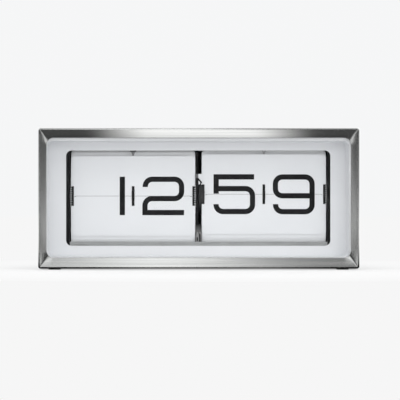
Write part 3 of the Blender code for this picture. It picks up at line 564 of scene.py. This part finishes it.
def makeTub():
    t = tubLook
    middle = caseMiddleZ + t["shiftZ"]
    window = caseMiddleZ + t["windowShiftZ"]
    steps = t["cornerSteps"]

    def field(y, grow):
        wide, tall, shift = t["fieldHalfWidth"], t["fieldHalfHeight"], t["shiftX"]
        outline = roundedOutline(shift - wide - grow, middle - tall - grow, shift + wide + grow,
                                 middle + tall + grow, t["fieldCorner"] + grow, steps)
        return [(a, y, b) for a, b in outline]

    def opening(y, grow):
        outline = roundedOutline(-t["windowHalfWidth"] - grow, window - t["windowHalfHeight"] - grow,
                                 t["windowHalfWidth"] + grow, window + t["windowHalfHeight"] + grow,
                                 t["windowCorner"] + grow, steps)
        return [(a, y, b) for a, b in outline]

    def flange(y, inset):
        outline = roundedOutline(tubLow.x + inset, tubLow.z + inset, tubHigh.x - inset, tubHigh.z - inset,
                                 0.0012, steps)
        return [(a, y, b) for a, b in outline]

    front, back = tubLow.y, tubHigh.y
    face = back - t["thickness"]
    outside = t["draft"] + t["wall"]
    edge, fillet = t["edge"], t["fillet"]
    rings = [flange(front, 0), flange(front + t["flange"], 0), field(front + t["flange"], outside),
             field(back, t["wall"]), opening(back, 0), opening(face + edge, 0),
             opening(face + edge * 0.3, edge * 0.3), opening(face, edge)]
    for k in range(5):
        angle = math.radians(90 * k / 4)
        grow = fillet * (math.sin(angle) - 1)
        rings.append(field(face - fillet * (1 - math.cos(angle)), grow))
    rings.append(field(front, t["draft"]))
    points = [p for ring in rings for p in ring]
    tub = pieceFrom("white_tub", points, ringFaces(len(rings), len(rings[0])), tubWhite, 40)
    keep(tub, "clock", ["fascia_tub"])


makeTub()
print("stage: tub made")


# Printed figures, drawn as strokes on a grid whose step is 1.16 mm

figureLook = {"step": 0.00116, "stroke": 5.25, "round": 7.0, "depth": 0.00006, "sink": 0.00002,
              "gap": 0.0001, "cornerSteps": 8}
# Each stroke is its points from the cell's top left; a third value of 0 keeps that corner square.
figureStrokes = {
    "0": [[(2.55, 2.5), (39.2, 2.5), (39.2, 36.0), (2.55, 36.0)]],
    "1": [[(38.95, 0.0), (38.95, 38.4)]],
    "2": [[(2.9, 10.3), (2.9, 2.55), (39.2, 2.55), (39.2, 21.85), (2.6, 21.85), (2.6, 35.85, 0),
           (41.7, 35.85)]],
    "5": [[(40.6, 2.45), (2.65, 2.45, 0), (2.65, 14.15, 0), (39.0, 14.15), (39.0, 36.95), (2.55, 36.95),
           (2.55, 29.6)], [(2.65, 16.68), (2.65, 19.2)]],
    "9": [[(36.7, 21.3), (2.55, 21.3), (2.55, 2.55), (39.25, 2.55), (39.25, 37.1), (2.7, 37.1),
           (2.7, 29.6)]],
}
closedFigures = ("0",)


def softened(corners, closed):
    look = figureLook
    points = []
    count = len(corners)
    for i, corner in enumerate(corners):
        here = Vector(corner[:2])
        radius = corner[2] if len(corner) > 2 else look["round"]
        ends = not closed and i in (0, count - 1)
        if ends or radius == 0:
            points.append(here)
            continue
        before = (Vector(corners[i - 1][:2]) - here)
        after = (Vector(corners[(i + 1) % count][:2]) - here)
        radius = min(radius, before.length * (0.5 if closed else 0.95), after.length * 0.95)
        before.normalize()
        after.normalize()
        centre = here + (before + after) * radius
        first = -after
        second = -before
        for k in range(look["cornerSteps"] + 1):
            angle = math.pi / 2 * k / look["cornerSteps"]
            points.append(centre + first * radius * math.cos(angle) + second * radius * math.sin(angle))
    return points


def strokeData(corners, closed):
    half = figureLook["stroke"] / 2
    line = softened(corners, closed)
    sides = []
    count = len(line)
    for i, point in enumerate(line):
        before = line[i - 1] if closed or i else None
        after = line[(i + 1) % count] if closed or i < count - 1 else None
        first = (point - before).normalized() if before is not None else None
        second = (after - point).normalized() if after is not None else None
        first = first if first is not None else second
        second = second if second is not None else first
        across = Vector((-first.y - second.y, first.x + second.x)).normalized()
        reach = half / max(0.3, across.dot(Vector((-first.y, first.x))))
        sides.append((point + across * reach, point - across * reach))
    points = []
    for depth in (0, 1):
        points += [(p[0], p[1], depth) for pair in sides for p in pair]
    faces = []
    back = 2 * count
    for i in range(count if closed else count - 1):
        a, b = 2 * i, 2 * ((i + 1) % count)
        faces += [(a, b, b + 1, a + 1), (back + a, back + a + 1, back + b + 1, back + b),
                  (a, back + a, back + b, b), (a + 1, b + 1, back + b + 1, back + a + 1)]
    if not closed:
        last = 2 * count - 2
        faces += [(0, 1, back + 1, back), (last, back + last, back + last + 1, last + 1)]
    return points, faces


def figureHalf(name, cells, seamZ, frontY, keepUpper):
    # Cells are (figure, left edge x, top z, height share). The print stands on a front face.
    look = figureLook
    parts = []
    for figure, left, top, tall in cells:
        for corners in figureStrokes[figure]:
            points, faces = strokeData(corners, figure in closedFigures)
            low, high = frontY + look["sink"], frontY - look["depth"]
            placed = [(left + p[0] * look["step"], low if p[2] == 0 else high,
                       top - p[1] * look["step"] * tall) for p in points]
            parts.append((placed, faces))
    mesh = bpy.data.meshes.new(name)
    points, faces = merged(*parts)
    mesh.from_pydata(points, [], faces)
    shape = bmesh.new()
    shape.from_mesh(mesh)
    bmesh.ops.remove_doubles(shape, verts=shape.verts, dist=0.000001)
    way = 1 if keepUpper else -1
    result = bmesh.ops.bisect_plane(shape, geom=shape.verts[:] + shape.edges[:] + shape.faces[:],
                                    plane_co=(0, 0, seamZ + way * look["gap"]), plane_no=(0, 0, way),
                                    clear_inner=True)
    edges = [e for e in result["geom_cut"] if isinstance(e, bmesh.types.BMEdge)]
    bmesh.ops.holes_fill(shape, edges=edges, sides=0)
    bmesh.ops.recalc_face_normals(shape, faces=shape.faces)
    shape.to_mesh(mesh)
    shape.free()
    mesh.materials.append(printBlack)
    return setDown(name, mesh)


hourCells = {"top": 0.1066, "tall": 1.0, "tens": -0.1331, "ones": -0.0647}
minuteCells = {"top": 0.1093, "tall": 1.005, "tens": 0.0178, "ones": 0.0866}


def cellsFor(display, word):
    names = {1: ("ones",), 2: ("tens", "ones")}[len(word)]
    return [(figure, display[cell], display["top"], display["tall"]) for figure, cell in zip(word, names)]


def turnedDown(piece, hingeY, seamZ):
    # The back of a leaf carries the lower half that shows after the leaf has fallen.
    piece.data.transform(Matrix.Translation((0, hingeY, seamZ)) @ Matrix.Rotation(math.pi, 4, "X")
                         @ Matrix.Translation((0, -hingeY, -seamZ)))


def makeFigures(name, display, now, after):
    flipLow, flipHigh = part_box(name + "_next_leaf")
    leafThick = flipHigh.y - flipLow.y
    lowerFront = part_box(name + "_lower_leaf")[0].y
    hingeY, seam = jointOf(name + "_leaf")["pos_m"][1:]
    fallen = 2 * hingeY - (lowerFront + leafThick)
    halves = (("upper", now, lowerFront, True, name + "_leaf"), ("lower", now, lowerFront, False, "clock"),
              ("next", after, flipLow.y, True, "clock"), ("back", after, fallen, False, name + "_leaf"))
    for half, word, front, upper, body in halves:
        piece = figureHalf(name + "_figure_" + half, cellsFor(display, word), seam, front, upper)
        if half == "back":
            turnedDown(piece, hingeY, seam)
        keep(piece, body)


makeFigures("hour", hourCells, "12", "1")
makeFigures("minute", minuteCells, "59", "00")
print("stage: figures printed")


# Leaves round the drums

axisY, axisZ = jointOf("minute_drum")["pos_m"][1:]
leafLook = {"count": 57, "step": 6.0, "circle": 0.021, "thickness": 0.0003, "height": 0.0463,
            "tab": 0.0687, "half": 0.072, "notch": 0.0134, "middleNotch": 0.0017, "corner": 0.0035,
            "cornerSteps": 4, "root": 0.0012, "frontPlane": 0.0191, "stack": 0.00045, "highest": 0.0522,
            "gathered": 160.0, "free": 110.0, "looseness": 0.0012, "seed": 11}


def fanLeafData():
    # One leaf standing up from its pins, which lie on the x axis.
    c = leafLook
    half, tab, notch, mid = c["half"], c["tab"], c["notch"], c["middleNotch"]
    corner, tall = c["corner"], c["height"]
    outline = [(-tab, -0.0003), (0.002 - tab, -0.0003), (0.002 - tab, c["root"]), (-mid, c["root"]),
               (-mid, notch), (mid, notch), (mid, c["root"]), (tab - 0.002, c["root"]),
               (tab - 0.002, -0.0003), (tab, -0.0003), (tab, notch), (half, notch)]
    outline += arcPoints(half - corner, tall - corner, corner, 0, 90, c["cornerSteps"])
    outline += arcPoints(corner - half, tall - corner, corner, 90, 180, c["cornerSteps"])
    outline += [(-half, notch), (-tab, notch)]
    return prismData(outline, 0.0, c["thickness"], alongY)


def fanPlaces(centreX, hingeRise):
    # Over the top the leaves lean on one another, so their upper edges gather behind the front leaf.
    c = leafLook
    first = 180 - math.degrees(math.asin(hingeRise / c["circle"]))
    places, turns = [], []
    for k in range(1, c["count"] + 1):
        angle = first - c["step"] * (k + 1)
        y = c["circle"] * math.cos(math.radians(angle))
        z = c["circle"] * math.sin(math.radians(angle))
        if angle >= 0:
            y = max(y, -c["frontPlane"] + c["stack"] * k)
            upright = math.degrees(math.asin(min(1.0, (c["highest"] - z) / c["height"])))
            upright = min(upright, 90 - 1.5 * k)
            share = min(1.0, max(0.0, (angle - c["free"]) / (c["gathered"] - c["free"])))
            lean = (angle - 90) * (1 - share) + max(upright, angle - 90) * share
        else:
            order = c["count"] + 1 - k
            y = max(y, -c["frontPlane"] - 0.0009 + c["stack"] * order)
            lean = -90
        places.append((centreX, axisY + y, axisZ + z))
        turns.append((math.radians(lean - 90), 0, 0))
    return places, turns


def makeFan(name):
    rise = jointOf(name + "_leaf")["pos_m"][2] - axisZ
    places, turns = fanPlaces(middleOf(name + "_next_leaf")[0], rise)
    fan = setAtPlaces(name + "_leaves", places, turns, fanLeafData(), leafWhite, leafLook["looseness"],
                      leafLook["seed"], 0)
    keep(fan, "clock", [name + "_leaf_pack"])


makeFan("hour")
makeFan("minute")
print("stage: leaves fanned")


# Notched wheels, middle discs and the leaves' pins

wheelLook = {"slots": 60, "rim": 0.0226, "notch": 0.0219, "floor": 0.0198, "tooth": 0.0013, "edge": 0.00025,
             "segments": 60, "rimShare": 0.55, "pinCircle": 0.0211, "pinRadius": 0.00042,
             "pinReach": 0.0007, "bands": 4, "bandDeep": 0.0004}


def toothData(low, high):
    c = wheelLook
    half = c["tooth"] / 2
    tip = half * 0.8
    outline = [(c["notch"] - 0.0004, -half), (c["rim"] - c["edge"], -half), (c["rim"], -tip),
               (c["rim"], tip), (c["rim"] - c["edge"], half), (c["notch"] - 0.0004, half)]
    return prismData(outline, low, high, alongX)


def roundTheDrum(name, hingeRise, data, material, offset=0.0):
    # The first place is on the hinge of the leaf that falls next; offset is in steps of one leaf.
    start = math.pi - math.asin(hingeRise / leafLook["circle"])
    turns = [(start + math.radians(leafLook["step"] * (k + offset)), 0, 0)
             for k in range(wheelLook["slots"])]
    return setAtPlaces(name, [(0, axisY, axisZ)] * len(turns), turns, data, material)


def endWheel(name, low, high, leafSide, bore, body, replaced, hingeRise):
    # A solid rim faces the leaves; outside it the web is lower and the pins' ends stand in it.
    c = wheelLook
    notch, floor, edge = c["notch"], c["floor"], c["edge"]
    wide = high - low
    rimStart = high - wide * c["rimShare"] if leafSide > 0 else low
    rimEnd = high if leafSide > 0 else low + wide * c["rimShare"]
    profile = [(low, bore), (low, bore + 0.0022), (low + edge, bore + 0.0026), (low + edge, floor - 0.003),
               (low, floor - 0.0026)]
    if leafSide > 0:
        profile += [(low, floor), (rimStart, floor), (rimStart, notch), (rimEnd, notch)]
    else:
        profile += [(low, notch), (rimEnd, notch), (rimEnd, floor), (high, floor)]
    profile += [(high, floor - 0.0026), (high - edge, floor - 0.003), (high - edge, bore + 0.0026),
                (high, bore + 0.0022), (high, bore)]
    disc = pieceFrom(name, *latheData(profile, c["segments"], alongX, (axisY, axisZ)), plasticBlack, 25)
    joined(disc, roundTheDrum(name + "_teeth", hingeRise, toothData(rimStart, rimEnd), plasticBlack, 0.5))
    keep(disc, body, replaced)
    pinLow = low - c["pinReach"] if leafSide > 0 else rimEnd - 0.0003
    pinHigh = rimStart + 0.0003 if leafSide > 0 else high + c["pinReach"]
    if name.startswith("hour") and leafSide < 0:
        pinHigh = high + 0.0004
    pin = [(pinLow, 0), (pinLow, c["pinRadius"]), (pinHigh, c["pinRadius"]), (pinHigh, 0)]
    data = latheData(pin, 8, alongX, (c["pinCircle"], 0.0))
    keep(roundTheDrum(name.replace("wheel", "pins"), hingeRise, data, leafWhite), body)


def plainDrum(name, low, high, bore, body, replaced):
    c = wheelLook
    profile = [(low, bore), (low, c["rim"] - c["edge"])]
    width = (high - low) / c["bands"]
    for k in range(c["bands"]):
        x = low + k * width
        profile += [(x + 0.0002, c["rim"]), (x + width - 0.0004, c["rim"]),
                    (x + width - 0.0002, c["rim"] - c["bandDeep"])]
    profile += [(high, c["rim"] - c["bandDeep"]), (high, 0.0212), (high - 0.0013, 0.0212),
                (high - 0.0013, 0.0202), (high, 0.0202), (high, bore)]
    drum = pieceFrom(name, *latheData(profile, c["segments"], alongX, (axisY, axisZ)), drumGrey, 25)
    keep(drum, body, replaced)


def middleDisc(name, hingeRise):
    c = wheelLook
    low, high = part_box(name + "_hub")
    middle = middleOf(name + "_next_leaf")[0]
    start, end, bore, hub = middle - 0.0012, middle + 0.0012, 0.0023, 0.005
    profile = [(low.x, bore), (low.x, hub), (start, hub), (start, c["notch"]), (end, c["notch"]),
               (end, hub), (high.x, hub), (high.x, bore)]
    disc = pieceFrom(name + "_hub_notched", *latheData(profile, c["segments"], alongX, (axisY, axisZ)),
                     plasticBlack, 25)
    joined(disc, roundTheDrum(name + "_disc_teeth", hingeRise, toothData(start, end), plasticBlack, 0.5))
    keep(disc, name + "_drum", [name + "_hub"])


def makeWheels():
    for name in ("hour", "minute"):
        rise = jointOf(name + "_leaf")["pos_m"][2] - axisZ
        for side, leafSide in (("left", 1), ("right", -1)):
            node = f"{name}_wheel_{side}"
            low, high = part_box(node)
            if node == "minute_wheel_left":
                plainDrum(node + "_turned", low.x, high.x, 0.0053, "minute_drum", [node])
            else:
                endWheel(node + "_notched", low.x, high.x, leafSide, 0.0053, name + "_drum", [node], rise)
        middleDisc(name, rise)


makeWheels()
print("stage: wheels slotted")


# Screws, feet, grips

screwLook = {"head": 0.0032, "height": 0.0016, "slotHalf": 0.00035, "slotLong": 0.0019, "slotDeep": 0.0009,
             "shank": 0.0014, "length": 0.007}


def crossScrew(headHeight):
    # A domed head with a cross cut into it; the head faces +y from y = 0.
    c = screwLook
    a, b, deep = c["slotHalf"], c["slotLong"], c["slotDeep"] * headHeight / c["height"]
    cross = [(a, a), (b, a), (b, -a), (a, -a), (a, -b), (-a, -b), (-a, -a), (-b, -a), (-b, a), (-a, a),
             (-a, b), (a, b)]
    count = len(cross)
    outer = []
    for x, z in cross:
        reach = math.hypot(x, z)
        outer.append((x / reach, z / reach))
    rings = [[(x * 0.6, headHeight - deep, z * 0.6) for x, z in cross],
             [(x, headHeight, z) for x, z in cross],
             [(x * c["head"] * 0.8, headHeight * 0.97, z * c["head"] * 0.8) for x, z in outer],
             [(x * c["head"], headHeight * 0.6, z * c["head"]) for x, z in outer],
             [(x * c["head"], 0.0003, z * c["head"]) for x, z in outer],
             [(x * c["shank"], 0.0003, z * c["shank"]) for x, z in outer],
             [(x * c["shank"], -c["length"], z * c["shank"]) for x, z in outer]]
    points = [p for ring in rings for p in ring]
    faces = ringFaces(len(rings), count, False)
    faces += [tuple(range(count)), tuple(range(len(points) - count, len(points)))]
    return points, faces


def makeScrews():
    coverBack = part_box("rear_cover")[1].y
    names = [f"rear_screw_{k}" for k in range(1, 5)]
    places = [(x, coverBack, z) for x, y, z in map(middleOf, names)]
    turns = [(0, math.radians(20 + 37 * k), 0) for k in range(4)]
    keep(setAtPlaces("rear_screws", places, turns, crossScrew(0.0019), darkSteel), "clock", names)
    names = ["case_screw_left", "case_screw_right"]
    places = [(x, y, caseLow.z) for x, y, z in map(middleOf, names)]
    turns = [(math.radians(-90), 0, math.radians(15)), (math.radians(-90), 0, math.radians(50))]
    keep(setAtPlaces("case_screws", places, turns, crossScrew(0.001), darkSteel), "clock", names)


def makeFeet():
    names = [f"foot_{k}" for k in range(1, 5)]
    places = [(x, y, 0) for x, y, z in map(middleOf, names)]
    profile = [(0, 0), (0, 0.0064), (0.0001, 0.0068), (0.0003, 0.007), (0.001, 0.007), (0.001, 0)]
    data = latheData(profile, 32, lambda value, a, b: (a, b, value))
    keep(setAtPlaces("rubber_feet", places, [(0, 0, 0)] * 4, data, softRubber), "clock", names)


def makeGrips():
    # Ribs round the setting wheel's rim, and three on the battery door for a fingertip.
    joint = jointOf("setting_wheel")
    low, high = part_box("set_wheel")
    rim = (high.z - low.z) / 2
    start, wide, count = high.x - 0.0052, 0.0044, 72
    outline = [(rim - 0.0002, -0.0004), (rim + 0.00025, -0.0002), (rim + 0.00025, 0.0002),
               (rim - 0.0002, 0.0004)]
    places = [(0, joint["pos_m"][1], joint["pos_m"][2])] * count
    turns = [(2 * math.pi * k / count, 0, 0) for k in range(count)]
    ribs = setAtPlaces("setting_wheel_ribs", places, turns,
                       prismData(outline, start, start + wide, alongX), coverBlack)
    keep(ribs, "setting_wheel")
    low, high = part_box("battery_door")
    middle = (low.x + high.x) / 2
    back = high.y - 0.0003
    outline = [(-0.0045, -0.0004), (0.0045, -0.0004), (0.0048, 0), (0.0045, 0.0004), (-0.0045, 0.0004),
               (-0.0048, 0)]
    places = [(middle, back, high.z - 0.004 - 0.0016 * k) for k in range(3)]
    ribs = setAtPlaces("battery_door_ribs", places, [(0, 0, 0)] * 3,
                       prismData(outline, -0.0003, 0.0003, alongY), coverBlack)
    keep(ribs, "door")


makeScrews()
makeFeet()
makeGrips()
print("stage: screws, feet and grips made")


# Small parts in the middle gap

def makeGuide():
    # A small grey head, a black arm that leans to the minute drum, and a white tongue behind both.
    low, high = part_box("leaf_guide")
    left, front, top = low.x, low.y, high.z
    head = [(0, -0.0048), (0.0026, -0.0048), (0.0030, -0.0040), (0.0030, 0), (0, 0)]
    arm = [(0.0004, -0.0046), (0.0030, -0.0046), (0.0036, -0.0052), (0.0072, -0.0092), (0.0070, -0.0108),
           (0.0060, -0.0108), (0.0042, -0.0082), (0.0030, -0.0078), (0.0030, -0.0150), (0.0004, -0.0150)]
    tongue = [(0.0030, 0), (0.0074, 0), (0.0074, -0.0126), (0.0066, -0.0126), (0.0066, -0.0108),
              (0.0050, -0.0098), (0.0050, -0.0118), (0.0036, -0.0122), (0.0030, -0.0086)]
    stem = [(-0.0020, -0.0050), (0.0, -0.0050), (0.0, -0.0004), (-0.0020, -0.0004)]

    def plate(name, outline, start, end, material):
        placed = [((left if outline is not stem else 0) + a, top + b) for a, b in outline]
        return pieceFrom(name, *prismData(placed, start, end, alongY), material)

    grey = plate("leaf_guide_parts", head, front, front + 0.0007, guideGrey)
    black = plate("guideArm", arm, front + 0.0001, front + 0.0007, plasticBlack)
    white = plate("guideTongue", tongue, front + 0.0008, front + 0.0016, leafWhite)
    rear = plate("guideStem", stem, front + 0.0007, high.y, plasticBlack)
    keep(joined(grey, black, white, rear), "clock", ["leaf_guide"])


def makeBracket():
    # A folded strip of thin metal: an eye to the left, a fold to the right, a tail bent up and back. The
    # back plate is painted much darker than the front and the tail darkens upward, both as painted shade.
    low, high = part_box("centre_bracket")
    wide, front = high.x - low.x, low.y
    bottom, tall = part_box("lower_crossbar")[1].z - 0.0035, 0.0150

    def placed(shares):
        return [(low.x + a * wide, bottom + b * tall) for a, b in shares]

    def plate(name, shares, start, end, material):
        return pieceFrom(name, *prismData(placed(shares), start, end, alongY), material)

    outer = placed([(0.0, 0.0), (0.0, 0.50), (0.06, 0.80), (0.22, 0.97), (0.42, 0.97), (0.56, 0.80),
                    (0.60, 0.45), (0.60, 0.0)])
    inner = placed([(0.17, 0.28), (0.15, 0.40), (0.16, 0.52), (0.24, 0.60), (0.32, 0.60), (0.40, 0.52),
                    (0.41, 0.40), (0.38, 0.28)])
    start, end = front, front + 0.0005
    rings = [[(a, y, b) for a, b in ring] for ring, y in ((outer, start), (inner, start), (inner, end),
                                                         (outer, end))]
    eye = pieceFrom("centre_bracket_folded", [p for ring in rings for p in ring], ringFaces(4, 8), foldPale)
    fold = plate("bracketFold", [(0.86, 0.16), (1.0, 0.16), (1.0, 0.86), (0.90, 0.98), (0.70, 1.0),
                                 (0.62, 0.90), (0.86, 0.80)], start + 0.0001, end, foldPale)
    foot = plate("bracketFoot", [(-0.06, 0.0), (1.06, 0.0), (1.0, 0.17), (0.0, 0.17)], start - 0.0002, end,
                 barPale)
    # The back plate is painted darker than the strip's front, as painted shade.
    rear = plate("bracketBack", [(0.0, 0.0), (1.0, 0.0), (1.0, 0.90), (0.0, 0.90)], front + 0.0008, high.y,
                 foldPaintedShade)
    # The tail's colour darkens upward as painted shade.
    tail = plate("bracketTail", [(0.04, 0.90), (0.94, 0.90), (0.94, 1.55), (0.04, 1.55)], high.y - 0.0008,
                 high.y, paintedTailShade)
    keep(joined(eye, fold, foot, rear, tail), "clock", ["centre_bracket"])


def makeCatches():
    # The hour catch is a stamped point, the minute catch a bent wire; each hangs from its own foot.
    for name in ("hour", "minute"):
        low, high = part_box(name + "_catch")
        middle, wide = (low.x + high.x) / 2, high.x - low.x
        half, bend = wide / 2, low.z + 0.0052
        foot = [(middle - half, bend - 0.0006), (middle + half, bend - 0.0006), (middle + half, high.z),
                (middle - half, high.z)]
        foot = pieceFrom(name + "_catch_shaped", *prismData(foot, low.y, high.y, alongY), catchGrey)
        tip, root = 0.0006, 0.0024
        inside = [(middle + root - 0.0009, bend), (middle, low.z + 0.0011), (middle - root + 0.0009, bend)]
        outline = [(middle - tip, low.z), (middle + tip, low.z), (middle + root, bend)]
        outline += (inside if name == "minute" else []) + [(middle - root, bend)]
        point = pieceFrom("catchPoint", *prismData(outline, low.y, high.y, alongY),
                          catchGrey if name == "hour" else plainSteel)
        keep(joined(foot, point), "clock", [name + "_catch"])


makeGuide()
makeBracket()
makeCatches()
print("stage: guide and bracket made")


# Finishes on the CAD pieces that stay

nodesByFinish = (
    (clearPane(), ["front_pane"]),
    (coverBlack, ["rear_cover", "battery_door", "set_wheel"]),
    (plateBlack, ["left_end_plate", "right_end_plate", "centre_plate", "top_crossbar"]),
    (barPale, ["lower_crossbar"]),
    (plainSteel, ["tie_rod_upper", "tie_rod_lower", "drum_shaft", "door_pin", "transfer_axle", "set_axle",
                  "shaft_pinion", "motor_pinion", "motor_can", "battery_contact", "battery_spring"]),
    (cutBrass, ["left_bush", "centre_bush", "right_bush", "hour_gear", "transfer_gear", "minute_gear"]),
    (plasticBlack, ["gear_bridge", "battery_holder"]),
    (boxGrey, ["motor_gearbox"]),
    (cellSleeve(), ["battery_cell"]),
    (leafWhite, [f"{a}_{b}_leaf" for a in ("hour", "minute") for b in ("flip", "next", "lower")]),
)
for material, nodeNames in nodesByFinish:
    for nodeName in nodeNames:
        slots = nodes[nodeName].data.materials
        slots.clear()
        slots.append(material)
print("stage: finishes on", sum(len(names) for _, names in nodesByFinish), "nodes")


# Room: pale floor, soft light, camera

room = {"white": 0.922, "floorSize": 30.0, "fill": 0.9, "fillRise": 0.35, "dark": 0.05, "aside": 0.9,
        "panelAt": -0.010, "panelWide": 0.075, "panel": 2.1, "panelBase": 0.1, "flank": 0.5,
        "floorBand": 1.9, "floorDark": 0.10, "floorAside": 1.3, "floorBehind": 0.55, "bandAt": 0.008,
        "camera": (-0.035, -2.566, 0.070), "width": 0.454, "frameX": 0.00136, "frameZ": 0.0794,
        "sensor": 36.0, "lampTarget": (0, 0, 0.08), "lampSize": (2.4, 1.6)}
lamps = {"frontSoftbox": ((0.3, -3.2, 0.45), 27.0), "topSoftbox": ((0.0, -1.4, 1.9), 10.0)}


def makeWorld():
    world = bpy.data.worlds.new("studio")
    bpy.context.scene.world = world
    world.use_nodes = True
    tree = world.node_tree
    tree.nodes.clear()
    sky = Finish("sky", tree)
    path = tree.nodes.new("ShaderNodeLightPath")
    camera = Wire(sky, path.outputs["Is Camera Ray"])
    glossy = Wire(sky, path.outputs["Is Glossy Ray"])
    where = sky.add("ShaderNodeTexCoord", out="Generated")
    x, y, z = (sky.add("ShaderNodeSeparateXYZ", None, {0: where}, out=axis) for axis in "XYZ")
    # Seen in the steel: a tall lit panel behind the camera, dark beside it, a pale room to the sides.
    azimuth = x.maths("ARCTAN2", x, 0 - y)
    aside = sky.span(azimuth.size(), 1.1, 1.5, room["dark"], room["aside"])
    rise = sky.span(z, 0.10, 0.30, 0.0, 1.0)
    panel = sky.span((azimuth - room["panelAt"]).size(), 0.0, room["panelWide"], room["panel"], 0.0)
    flank = sky.span(azimuth.size(), 0.10, 0.30, room["panelBase"], room["flank"])
    gloss = aside + (panel + flank) * rise
    fill = room["fill"] * (1.0 + room["fillRise"] * z)
    plain = fill * (1 - glossy) + gloss * glossy
    level = plain * (1 - camera) + room["white"] * camera
    tint = sky.add("ShaderNodeCombineColor", None, {0: level * 0.995, 1: level, 2: level * 1.005})
    shine = sky.add("ShaderNodeBackground", None, {"Color": tint, "Strength": 1.0})
    out = tree.nodes.new("ShaderNodeOutputWorld")
    tree.links.new(shine.socket, out.inputs["Surface"])


def makeFloor():
    finish = Finish("paleFloor")
    tree = finish.tree
    path = tree.nodes.new("ShaderNodeLightPath")
    camera = Wire(finish, path.outputs["Is Camera Ray"])
    glossy = Wire(finish, path.outputs["Is Glossy Ray"])
    away = finish.axis("X")
    near = finish.axis("Y")
    across = (away - room["bandAt"]).size()
    lit = finish.span(across, 0.070, 0.135, room["floorBand"], room["floorDark"])
    lit = finish.span(near, -0.64, -0.50, room["floorDark"], 1.0) * lit
    lit = lit * finish.span(near, -0.28, -0.10, 1.0, 0.1)
    lit = lit + finish.span(across, 0.7, 1.4, 0.0, room["floorAside"])
    lit = lit + finish.span(near, -0.05, 0.05, 0.0, room["floorBehind"])
    tree.nodes.remove(finish.shader)
    matt = finish.add("ShaderNodeBsdfDiffuse", None, {"Color": grey(0.85)})
    plain = finish.add("ShaderNodeEmission", None, {"Color": grey(1), "Strength": room["white"]})
    reach = finish.add("ShaderNodeVectorMath", {"operation": "LENGTH"}, {0: finish.place()}, out="Value")
    shown = finish.add("ShaderNodeMixShader", None,
                       {0: finish.span(reach, 0.25, 0.5, 0.45, 0.0), 1: plain, 2: matt})
    mirror = finish.add("ShaderNodeEmission", None, {"Color": grey(1), "Strength": lit})
    seen = finish.add("ShaderNodeMixShader", None, {0: camera, 1: matt, 2: shown})
    last = finish.add("ShaderNodeMixShader", None, {0: glossy, 1: seen, 2: mirror})
    out = next(n for n in tree.nodes if n.type == "OUTPUT_MATERIAL")
    tree.links.new(last.socket, out.inputs["Surface"])
    half = room["floorSize"] / 2
    floor = pieceFrom("floor", [(-half, -half, 0), (half, -half, 0), (half, half, 0), (-half, half, 0)],
                      [(0, 1, 2, 3)], finish.material, 0)


def makeLight(name, place, power):
    lamp = bpy.data.lights.new(name, "AREA")
    lamp.shape = "RECTANGLE"
    lamp.size, lamp.size_y = room["lampSize"]
    lamp.energy = power
    light = setDown(name, lamp)
    light.location = place
    light.rotation_euler = (Vector(room["lampTarget"]) - Vector(place)).to_track_quat("-Z", "Y").to_euler()
    light.visible_glossy = False


def makeCamera():
    lens = bpy.data.cameras.new("photoCamera")
    camera = setDown("photoCamera", lens)
    camera.location = room["camera"]
    camera.rotation_euler = (math.radians(90), 0, 0)
    distance = caseLow.y - room["camera"][1]
    lens.sensor_width = room["sensor"]
    lens.lens = room["sensor"] * distance / room["width"]
    lens.shift_x = (room["frameX"] - room["camera"][0]) / room["width"]
    lens.shift_y = (room["frameZ"] - room["camera"][2]) / room["width"]
    lens.clip_end = 100
    bpy.context.scene.camera = camera


makeWorld()
makeFloor()
for lampName, (place, power) in lamps.items():
    makeLight(lampName, place, power)
makeCamera()
bpy.context.scene.view_settings.view_transform = "Standard"
print("stage: room lit")
